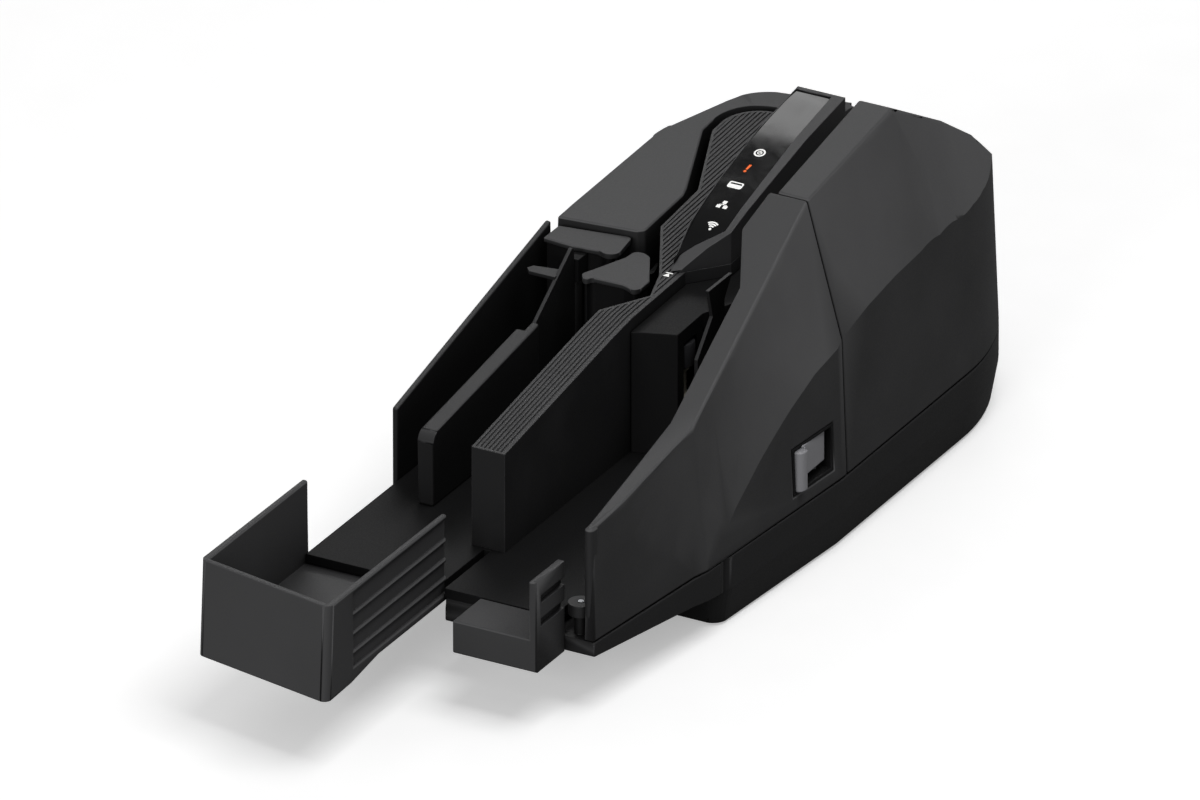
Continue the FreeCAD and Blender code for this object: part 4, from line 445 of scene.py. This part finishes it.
edgeRadius = {
    "feed_cover": 0.9 * mm, "rear_cover": 0.9 * mm, "return_cover": 0.8 * mm, "lower_case": 0.6 * mm,
    "display_bezel": 0.16 * mm, "main_exit_cap": 0.5 * mm, "gate_exit_cap": 0.5 * mm,
    "pocket_divider": 1.0 * mm, "pocket_side_wall": 0.8 * mm, "pocket_tray": 0.9 * mm,
    "hopper_tray": 0.7 * mm, "lever_dish": 0.4 * mm, "rear_pillar": 0.6 * mm,
    "power_button": 0.6 * mm,
}
for name, radius in edgeRadius.items():
    roundedCopy(name, radius)
print("rounded covers, case, trays and caps")


# Window and its printed symbols

def topFaces(name):
    # normal and corners of each face that looks up
    mesh = nodes[name].data
    return [(face.normal.copy(), [mesh.vertices[i].co.copy() for i in face.vertices])
            for face in mesh.polygons if face.normal.z > 0.3]


def heightOn(faces, y):
    # height of a surface that only changes along y, from the face that spans that y and is highest there
    found = []
    for normal, corners in faces:
        if min(c.y for c in corners) <= y <= max(c.y for c in corners):
            found.append(corners[0].z - (y - corners[0].y) * normal.y / normal.z)
    return max(found) if found else None


def along(points, y):
    # straight-line value between (y, value) points
    for (y0, v0), (y1, v1) in zip(points, points[1:]):
        if y0 <= y <= y1:
            return v0 + (v1 - v0) * (y - y0) / max(y1 - y0, 1e-9)
    return points[0][1] if y < points[0][0] else points[-1][1]


windowLook = {
    "pitch": 1.5 * mm,      # spacing of the sections
    "ease": 9 * mm,         # how far the bends of the ridge are softened
    "split": -8.2 * mm,     # the left edge lies beyond this, the right edge before it
    "thick": 1.4 * mm,
    "short": 0.05 * mm,     # how far its ends stop before those of the solid
    "round": 1 * mm,        # corners this near the lenses aren't part of the outline
    "ink": 0.05 * mm,       # thickness of the printed symbols
    "key": 0.025 * mm,      # how far the ink reaches into the window
}
windowFaces = topFaces("display_window")
windowLow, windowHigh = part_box("display_window")
lensLow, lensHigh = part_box("status_lenses")


def windowHeight(y):
    low, high = windowLow[1] + 2 * windowLook["short"], windowHigh[1] - 2 * windowLook["short"]
    samples = [heightOn(windowFaces, min(max(y + k * windowLook["ease"] / 3, low), high))
               for k in range(-3, 4)]
    return sum(samples) / len(samples)


def besideLenses(x, y):
    near = windowLook["round"]
    return not (lensLow[0] - near < x < lensHigh[0] + near and lensLow[1] - near < y < lensHigh[1] + near)


def buildWindow():
    # the same window drawn as one soft curve, so the studio light fades along it instead of breaking off
    low, length = windowLow[1], windowHigh[1] - windowLow[1]
    corners = {(round(corner.y, 6), round(corner.x, 6))
               for normal, points in windowFaces for corner in points}
    outline = sorted((y, x) for y, x in corners if besideLenses(x, y))
    left = [spot for spot in outline if spot[1] < windowLook["split"]]
    right = [spot for spot in outline if spot[1] >= windowLook["split"]]
    form = bmesh.new()
    rows = []
    count = int(length / windowLook["pitch"])
    for step in range(count + 1):
        y = low + windowLook["short"] + (length - 2 * windowLook["short"]) * step / count
        top = windowHeight(y)
        rows.append([form.verts.new((along(side, y), y, top - drop)) for drop in (0, windowLook["thick"])
                     for side in (left, right)])
    for a, b in zip(rows, rows[1:]):
        form.faces.new((a[0], a[1], b[1], b[0]))
        form.faces.new((a[2], b[2], b[3], a[3]))
        form.faces.new((a[0], b[0], b[2], a[2]))
        form.faces.new((a[1], a[3], b[3], b[1]))
    form.faces.new((rows[0][0], rows[0][2], rows[0][3], rows[0][1]))
    form.faces.new((rows[-1][0], rows[-1][1], rows[-1][3], rows[-1][2]))
    form.normal_update()
    smoothShade(form, 30)
    mesh = meshFrom(form, "display_window_moulding")
    window = newPiece("display_window_moulding", mesh, windowAcrylic, "case")
    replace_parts(window, "display_window")


def arcPoints(radius, start, end, steps, centre=(0, 0)):
    turns = [math.radians(start + (end - start) * k / steps) for k in range(steps + 1)]
    return [(centre[0] + radius * math.cos(t), centre[1] + radius * math.sin(t)) for t in turns]


def band(outer, inner):
    # quadrilaterals between two runs of points
    return [[outer[k], outer[k + 1], inner[k + 1], inner[k]] for k in range(len(outer) - 1)]


def block(x0, y0, x1, y1):
    return [[(x0, y0), (x1, y0), (x1, y1), (x0, y1)]]


def roundedBlock(width, height, radius):
    outline = []
    for quarter, (sx, sy) in enumerate(((1, 1), (-1, 1), (-1, -1), (1, -1))):
        centre = (sx * (width / 2 - radius), sy * (height / 2 - radius))
        outline += arcPoints(radius, 90 * quarter, 90 * quarter + 90, 4, centre)
    return outline


def symbolFan():
    # radio link: three arcs over a dot
    parts = [arcPoints(0.55, 0, 360, 10)[:-1]]
    for radius in (1.35, 2.3, 3.2):
        parts += band(arcPoints(radius + 0.3, 48, 132, 8), arcPoints(radius - 0.3, 48, 132, 8))
    return [[(x, y - 1.4) for x, y in part] for part in parts]


def symbolNet():
    # wired link: one box above two, joined by lines
    boxes = block(-0.85, 0.55, 0.85, 2.2) + block(-2.3, -2.1, -0.55, -0.5) + block(0.55, -2.1, 2.3, -0.5)
    lines = block(-0.16, -0.05, 0.16, 0.55) + block(-1.6, -0.25, 1.6, 0.02)
    return boxes + lines + block(-1.6, -0.5, -1.3, -0.25) + block(1.3, -0.5, 1.6, -0.25)


def symbolSheet():
    # document: rounded frame with a written line
    outer, inner = roundedBlock(6.2, 3.8, 0.9), roundedBlock(5.0, 2.6, 0.45)
    return band(outer + outer[:1], inner + inner[:1]) + block(-2.5, -1.2, 2.5, 0.35)


def symbolAlert():
    # exclamation mark
    dot = arcPoints(0.62, 0, 360, 10, (-0.1, -1.75))[:-1]
    return [[(-0.5, -0.6), (0.35, -0.6), (0.75, 2.5), (-0.35, 2.5)], dot]


def symbolPower():
    # disc with the ring and stroke of a power mark left dark in it
    parts = band(arcPoints(2.35, 0, 360, 28), arcPoints(1.65, 0, 360, 28))
    parts += band(arcPoints(1.05, 115, 425, 18), arcPoints(0.6, 115, 425, 18))
    return parts + block(-0.22, 0.1, 0.22, 1.3)


def symbolFeed():
    # bar over a triangle: put the sheets in here
    return block(-1.5, 1.1, 1.5, 1.7) + [[(-1.35, -1.5), (1.35, -1.5), (0.25, 0.75), (-0.25, 0.75)]]


def printSymbol(name, parts, centre, material, ground):
    # flat ink laid on the ground surface, upright along the paper path
    form = bmesh.new()
    for part in parts:
        spots = [((centre[0] + x) * mm, (centre[1] + y) * mm) for x, y in part]
        face = form.faces.new([form.verts.new((x, y, ground(y) + windowLook["ink"])) for x, y in spots])
        face.normal_update()
        if face.normal.z < 0:
            face.normal_flip()
        for vert in bmesh.ops.extrude_face_region(form, geom=[face])["geom"]:
            if isinstance(vert, bmesh.types.BMVert):
                vert.co.z -= windowLook["ink"] + windowLook["key"]
    bmesh.ops.recalc_face_normals(form, faces=form.faces)
    return newPiece(name, meshFrom(form, name), material, "case")


tailSpot = (-8.4, 47.4)     # the pointed tail of the panel, in front of the window
symbolRow = {       # outline, centre in millimetres and ink
    "symbol_link": (symbolFan(), (-0.6, 68.4), whiteInk),
    "symbol_network": (symbolNet(), (-1.9, 80.1), whiteInk),
    "symbol_sheet": (symbolSheet(), (-3.2, 92.2), whiteInk),
    "symbol_alert": (symbolAlert(), (-3.9, 103.0), orangeInk),
    "symbol_power": (symbolPower(), (-4.1, 113.4), whiteInk),
}
panel = nodes["island_cover"].data
panelTree = BVHTree.FromPolygons([v.co for v in panel.vertices], [f.vertices for f in panel.polygons])


def tailHeight(y):
    # the panel's height from above, at the tail
    return panelTree.ray_cast(Vector((tailSpot[0] * mm, y, 1.0)), Vector((0, 0, -1)))[0].z


printSymbol("symbol_feed", symbolFeed(), tailSpot, whiteInk, tailHeight)
buildWindow()
for name, (parts, centre, material) in symbolRow.items():
    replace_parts(printSymbol(name, parts, centre, material, windowHeight), "status_lenses")
print("window and symbols printed")


# Lever, end of the feed cover, rollers, motors, feet and board parts, all in millimetres

def prism(name, outline, low, high, edge, material, body):
    # an outline in plan drawn up between two heights, with its edges rounded
    form = bmesh.new()
    face = form.faces.new([form.verts.new((x * mm, y * mm, low * mm)) for x, y in outline])
    for part in bmesh.ops.extrude_face_region(form, geom=[face])["geom"]:
        if isinstance(part, bmesh.types.BMVert):
            part.co.z = high * mm
    bmesh.ops.recalc_face_normals(form, faces=form.faces)
    lines = [line for line in form.edges if line.calc_face_angle(0) > math.radians(20)]
    for face in form.faces:
        face.smooth = True
    bmesh.ops.bevel(form, geom=lines, offset=edge * mm, offset_type="OFFSET", segments=4, profile=0.5,
                    affect="EDGES", clamp_overlap=True)
    bmesh.ops.triangulate(form, faces=[f for f in form.faces if len(f.verts) > 4])
    piece = newPiece(name, meshFrom(form, name), material, body)
    evenShading(piece)
    return piece


toothLook = {
    "count": 22,
    "deep": 0.7,
    "steps": 8,         # points round each tooth, of which the first three lie in the groove
    "groove": 3,
}


def lathe(name, centre, profile, material, body, sides=72, toothed=False):
    # a profile of (radius, height) turned about an upright axis, with grooves between teeth if it has them
    form = bmesh.new()
    steps = toothLook["count"] * toothLook["steps"] if toothed else sides
    rings = []
    for radius, height in profile:
        ring = []
        for k in range(steps):
            cut = toothLook["deep"] if toothed and k % toothLook["steps"] < toothLook["groove"] else 0.0
            turn = 2 * math.pi * k / steps
            ring.append(form.verts.new((centre[0] + (radius - cut) * mm * math.cos(turn),
                                        centre[1] + (radius - cut) * mm * math.sin(turn), height * mm)))
        rings.append(ring)
    for a, b in zip(rings, rings[1:]):
        for k in range(steps):
            form.faces.new((a[k], a[(k + 1) % steps], b[(k + 1) % steps], b[k]))
    form.faces.new(rings[0][::-1])
    form.faces.new(rings[-1])
    bmesh.ops.recalc_face_normals(form, faces=form.faces)
    form.normal_update()
    smoothShade(form, 34)
    for face in form.faces:
        face.smooth = len(face.verts) == 4
    return newPiece(name, meshFrom(form, name), material, body)


def spool(radius, low, high, steps):
    # the same steps at both ends of a cylinder, each so far in from its radius and so far from its end
    rising = [(radius - inward, low + inset) for inward, inset in steps]
    return rising + [(radius - inward, high - inset) for inward, inset in reversed(steps)]


def axisOf(name):
    low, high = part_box(name)
    return (low[0] + high[0]) / 2, (low[1] + high[1]) / 2


rollerLook = {
    "tyres": ((47, 57), (72, 82)),      # heights that carry rubber
    "tyreSteps": ((0.9, 0.0), (0.3, 0.25), (0.0, 0.9)),
    "wall": 2.2,                        # thickness of a tyre
    "hubSteps": ((0.3, -0.1), (0.0, 0.3), (0.0, 2.0)),
    "neck": (1.2, 3.0),                 # how deep a wide hub is drawn in, and from where
    "leastNeck": 3.0,                   # narrower hubs stay straight
    "leastHub": 0.4,                    # a hub is at least this much wider than its shaft
    "pulley": (21.6, 27.0),
    "shaftCut": 0.3,
    "shaft": {True: 2.0, False: 1.2},   # radius of a driven and of a free shaft
    "radius": {True: 8.0, False: 6.0},
    "ownRadius": {"exit_roller": 4.6, "exit_pinch_roller": 4.3, "pick_roller": 7.0, "feed_roller": 7.0},
}


def buildPulley(name, centre, body):
    # toothed pulley with a flange on top
    low, high = rollerLook["pulley"]
    profile = [(5.4, low), (6.2, low), (6.2, high - 0.9), (7.0, high - 0.9), (7.0, high - 0.2), (6.8, high)]
    return lathe(name, centre, profile, acetal, body, toothed=True)


def buildRoller(name, driven):
    # ground rubber tyres on moulded hubs, a steel shaft with chamfered ends and a toothed pulley below
    centre, body = axisOf(name), bodyOf[name]
    low, high = (corner[2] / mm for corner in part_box(name))
    shaft = rollerLook["shaft"][driven]
    radius = rollerLook["ownRadius"].get(name, rollerLook["radius"][driven])
    cut = rollerLook["shaftCut"]
    foot = rollerLook["pulley"][1] if driven else low
    made = [lathe(name + "_shaft", centre, spool(shaft, foot, high, ((cut, 0), (0, cut))), shaftSteel, body,
                  32)]
    for count, (start, end) in enumerate(rollerLook["tyres"]):
        tyre = spool(radius, start, end, rollerLook["tyreSteps"])
        made.append(lathe(f"{name}_tyre_{count + 1}", centre, tyre, rollerRubber, body))
    hub = max(radius - rollerLook["wall"], shaft + rollerLook["leastHub"])
    deep, inset = rollerLook["neck"]
    neck = (deep if hub > rollerLook["leastNeck"] else 0, inset)
    start, end = rollerLook["tyres"][0][1], rollerLook["tyres"][1][0]
    made.append(lathe(name + "_hub", centre, spool(hub, start, end, rollerLook["hubSteps"] + (neck,)), acetal,
                      body))
    if driven:
        made.append(buildPulley(name + "_pulley", centre, body))
    for piece in made:
        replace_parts(piece, name)


for name in nodes:
    if name.endswith("_roller"):
        buildRoller(name, "drive" in name or name in ("pick_roller", "feed_roller", "exit_roller"))

motorLook = {
    "can": [(12.6, 4.0), (13.2, 4.3), (13.5, 5.0), (13.5, 16.9), (13.2, 17.2), (13.5, 17.5), (13.5, 19.1),
            (13.1, 19.5)],
    "boss": spool(3.5, 19.4, 20.4, ((0.3, 0), (0, 0.3))),
    "rod": spool(1.5, 9.1, 26.9, ((0.2, 0), (0, 0.2))),
}
for name in ("transport_motor", "feed_motor"):
    centre = axisOf(name)
    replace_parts(lathe(name + "_can", centre, motorLook["can"], zincCan, "case", 96), name)
    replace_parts(lathe(name + "_boss", centre, motorLook["boss"], shaftSteel, "case", 40), name)
    rod, body = name + "_shaft", bodyOf[name + "_shaft"]
    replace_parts(lathe(rod + "_rod", centre, motorLook["rod"], shaftSteel, body, 32), rod)
    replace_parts(buildPulley(rod + "_pulley", centre, body), rod)

# a rounded grip in front, a plate that stands out to the cover behind it, and the barrel on its pin
leverForms = {
    "lever_grip": ([(63.6, 8.2), (70.6, 8.2), (71.9, 9.2), (72.4, 11.0), (72.3, 13.2), (63.6, 13.2)],
                   37.2, 54.6, 0.9),
    "lever_plate": ([(64.2, 12.8), (69.9, 12.8), (69.5, 31.6), (64.2, 31.6)], 41.2, 55.5, 0.8),
    "lever_plate_rib": ([(69.0, 13.4), (70.6, 13.4), (70.2, 15.0), (69.0, 15.6)], 42.2, 54.4, 0.4),
}
leverPin = (64.3 * mm, 29.9 * mm)
leverBarrel = spool(2.0, 36.6, 55.8, ((0.3, 0), (0, 0.3)))
for name, (outline, low, high, edge) in leverForms.items():
    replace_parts(prism(name, outline, low, high, edge, leverAbs, "lever"), "release_lever")
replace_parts(lathe("lever_barrel", leverPin, leverBarrel, leverAbs, "lever", 40),
            "release_lever")

# the thick rounded end of the feed cover, over its hinge
coverEnd = [(51.9, -128.5), (55.4, -128.5), (56.0, -123.5), (51.9, -123.5)]
prism("feed_cover_end", coverEnd, 38.4, 77.6, 1.5, coverAbs, "front_cover")


def islands(name):
    # centre and radius in plan and both heights of each separate solid of a node
    form = bmesh.new()
    form.from_mesh(nodes[name].data)
    bmesh.ops.remove_doubles(form, verts=form.verts, dist=rounding["weld"])
    left, found = set(form.verts), []
    while left:
        group, reached = set(), [left.pop()]
        while reached:
            vert = reached.pop()
            group.add(vert)
            for other in (line.other_vert(vert) for line in vert.link_edges):
                if other in left:
                    left.discard(other)
                    reached.append(other)
        lows = [min(vert.co[axis] for vert in group) for axis in range(3)]
        highs = [max(vert.co[axis] for vert in group) for axis in range(3)]
        x, y = ((lows[axis] + highs[axis]) / 2 for axis in range(2))
        found.append(((x, y), (highs[0] - x) / mm, lows[2] / mm, highs[2] / mm))
    form.free()
    return sorted(found)


footSteps = ((1.6, 0.25), (1.2, 0.0), (0.5, 0.0), (0.0, 0.45))      # a dished disc with a rounded rim
for count, (centre, radius, low, high) in enumerate(islands("rubber_feet")):
    profile = [(radius - inward, low + rise) for inward, rise in footSteps] + [(radius, high)]
    foot = lathe(f"rubber_foot_{count + 1}", centre, profile, footRubber, "case")
    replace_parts(foot, "rubber_feet")

boardTop = 8.8
boardLook = {
    "chips": {          # low and high corner in plan, and thickness
        "chip_main": ((-22, 140), (-8, 154), 1.2), "chip_memory": ((-2, 142), (9, 151), 1.1),
        "chip_driver": ((16, 126), (24, 134), 1.6), "chip_power": ((-36, 122), (-28, 129), 2.4),
        "chip_link": ((12, 160), (20, 168), 1.1),
    },
    "row": {"count": 9, "from": (-30, 172), "pitch": 6.5, "size": (2.6, 1.6, 0.8)},
    "capacitors": ((-36, 150), (26, 148), (-30, 160)),
    "capacitor": [(3.0, boardTop), (3.0, 14.6), (2.6, 15.0)],
}


def boardPart(name, low, high, thick, edge, material):
    outline = [low, (high[0], low[1]), high, (low[0], high[1])]
    prism(name, outline, boardTop, boardTop + thick, edge, material, "case")


for name, (low, high, thick) in boardLook["chips"].items():
    boardPart(name, low, high, thick, 0.25, innerAbs)
row = boardLook["row"]
for count in range(row["count"]):
    low = (row["from"][0] + row["pitch"] * count, row["from"][1])
    high = (low[0] + row["size"][0], low[1] + row["size"][1])
    boardPart(f"board_part_{count + 1}", low, high, row["size"][2], 0.15, acetal)
for count, (x, y) in enumerate(boardLook["capacitors"]):
    lathe(f"board_capacitor_{count + 1}", (x * mm, y * mm), boardLook["capacitor"], tinnedShell, "case",
          40)

# power mark printed on the button, facing the rear
markParts = band(arcPoints(2.1, 125, 415, 20), arcPoints(1.6, 125, 415, 20)) + block(-0.25, 0.3, 0.25, 2.5)
mark = bmesh.new()
buttonLow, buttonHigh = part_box("power_button")
rear = buttonHigh[1] + windowLook["ink"]
middle = [(a + b) / 2 for a, b in zip(buttonLow, buttonHigh)]
for part in markParts:
    mark.faces.new([mark.verts.new((middle[0] - x * mm, rear, middle[2] + y * mm)) for x, y in part])
bmesh.ops.recalc_face_normals(mark, faces=mark.faces)
newPiece("button_power_mark", meshFrom(mark, "button_power_mark"), whiteInk, "button")
print("rollers, motors, lever, feet and board parts built")


# Camera, floor and studio light

view = {
    "azimuth": 28.96,       # degrees the camera stands right of the front
    "elevation": 26.3,
    "lens": 1100,           # millimetres: very long, because the photograph is nearly parallel
    "sensor": 36,
    "clip": 40,             # metres
    "framed": 462 * mm,     # width of the picture at the object
    "centre": (-4.4, -13.8, 69.0),   # millimetres, what the picture's middle looks at
}
studio = {
    "sky": 0.22,
    "floorReach": 6.0,          # metres each way
    "floorWhite": ("f4f4f4", "fafafa"),
    "floorDull": "404040",      # what the floor throws back at the object
    "floorGloss": 0.12,
    "floorLift": 0.38,          # brings the unshaded paper to white
    "aim": (0, 0, 0.06),
    "lamps": {                  # place and size in metres, power in watts
        "top_softbox": ((0.5, 0.0, 1.7), (1.0, 1.0), 13),
        "front_softbox": ((0.1, -2.1, 0.75), (1.0, 0.8), 14),
        "rear_card": ((-0.95, 1.5, 1.45), (1.3, 0.45), 6),
    },
}


def placeCamera():
    camera = bpy.data.cameras.new("photo_camera")
    camera.lens = view["lens"]
    camera.sensor_width = view["sensor"]
    camera.clip_end = view["clip"]
    eye = bpy.data.objects.new("photo_camera", camera)
    bpy.context.scene.collection.objects.link(eye)
    az, el = math.radians(view["azimuth"]), math.radians(view["elevation"])
    away = Vector((math.sin(az) * math.cos(el), -math.cos(az) * math.cos(el), math.sin(el)))
    distance = view["framed"] * view["lens"] / view["sensor"]
    eye.location = Vector(view["centre"]) * mm + away * distance
    eye.rotation_euler = away.to_track_quat("Z", "Y").to_euler()
    bpy.context.scene.camera = eye


def addLamp(name, place, aim, size, power):
    lamp = bpy.data.lights.new(name, "AREA")
    lamp.shape = "RECTANGLE"
    lamp.size, lamp.size_y = size
    lamp.energy = power
    holder = bpy.data.objects.new(name, lamp)
    bpy.context.scene.collection.objects.link(holder)
    holder.location = place
    holder.rotation_euler = (Vector(place) - Vector(aim)).to_track_quat("Z", "Y").to_euler()


def buildStudio():
    # white paper that keeps the object's shadow for the camera, and is duller where it would light the object
    floor = bpy.data.meshes.new("studio_floor")
    reach = studio["floorReach"]
    corners = [(-reach, -reach, 0), (reach, -reach, 0), (reach, reach, 0), (-reach, reach, 0)]
    floor.from_pydata(corners, [], [(0, 1, 2, 3)])
    ground = bpy.data.objects.new("studio_floor", floor)
    bpy.context.scene.collection.objects.link(ground)
    paper, tree, shader = newMaterial("paper_backdrop_white", Roughness=0.9, Specular_IOR_Level=0.0)
    place = addNode(tree, "ShaderNodeTexCoord").outputs["Object"]
    fibre = addNode(tree, "ShaderNodeTexNoise", {"Scale": 40.0, "Detail": 3.0}, {"Vector": place})
    path = addNode(tree, "ShaderNodeLightPath")
    seen = addNode(tree, "ShaderNodeMath", {"operation": "MAXIMUM"},
                   {0: path.outputs["Is Camera Ray"], 1: path.outputs["Is Transmission Ray"]})
    gloss = addNode(tree, "ShaderNodeMath", {"operation": "MULTIPLY", 1: studio["floorGloss"]},
                    {0: path.outputs["Is Glossy Ray"]})
    shown = addNode(tree, "ShaderNodeMath", {"operation": "MAXIMUM"},
                    {0: seen.outputs[0], 1: gloss.outputs[0]}).outputs[0]
    white = blendColours(tree, *studio["floorWhite"], fibre.outputs["Fac"])
    tree.links.new(blendColours(tree, studio["floorDull"], white, shown), shader.inputs["Base Color"])
    shader.inputs["Emission Color"].default_value = (1, 1, 1, 1)
    tree.links.new(spread(tree, shown, 0.0, studio["floorLift"]), shader.inputs["Emission Strength"])
    floor.materials.append(paper)
    world = bpy.data.worlds.new("studio_sky")
    world.use_nodes = True
    bpy.context.scene.world = world
    sky = world.node_tree.nodes["Background"]
    sky.inputs["Color"].default_value = (1, 1, 1, 1)
    sky.inputs["Strength"].default_value = studio["sky"]
    for name, (place, size, power) in studio["lamps"].items():
        addLamp(name, place, studio["aim"], size, power)


placeCamera()
buildStudio()
bpy.context.scene.view_settings.view_transform = "Standard"
print("camera and studio ready")
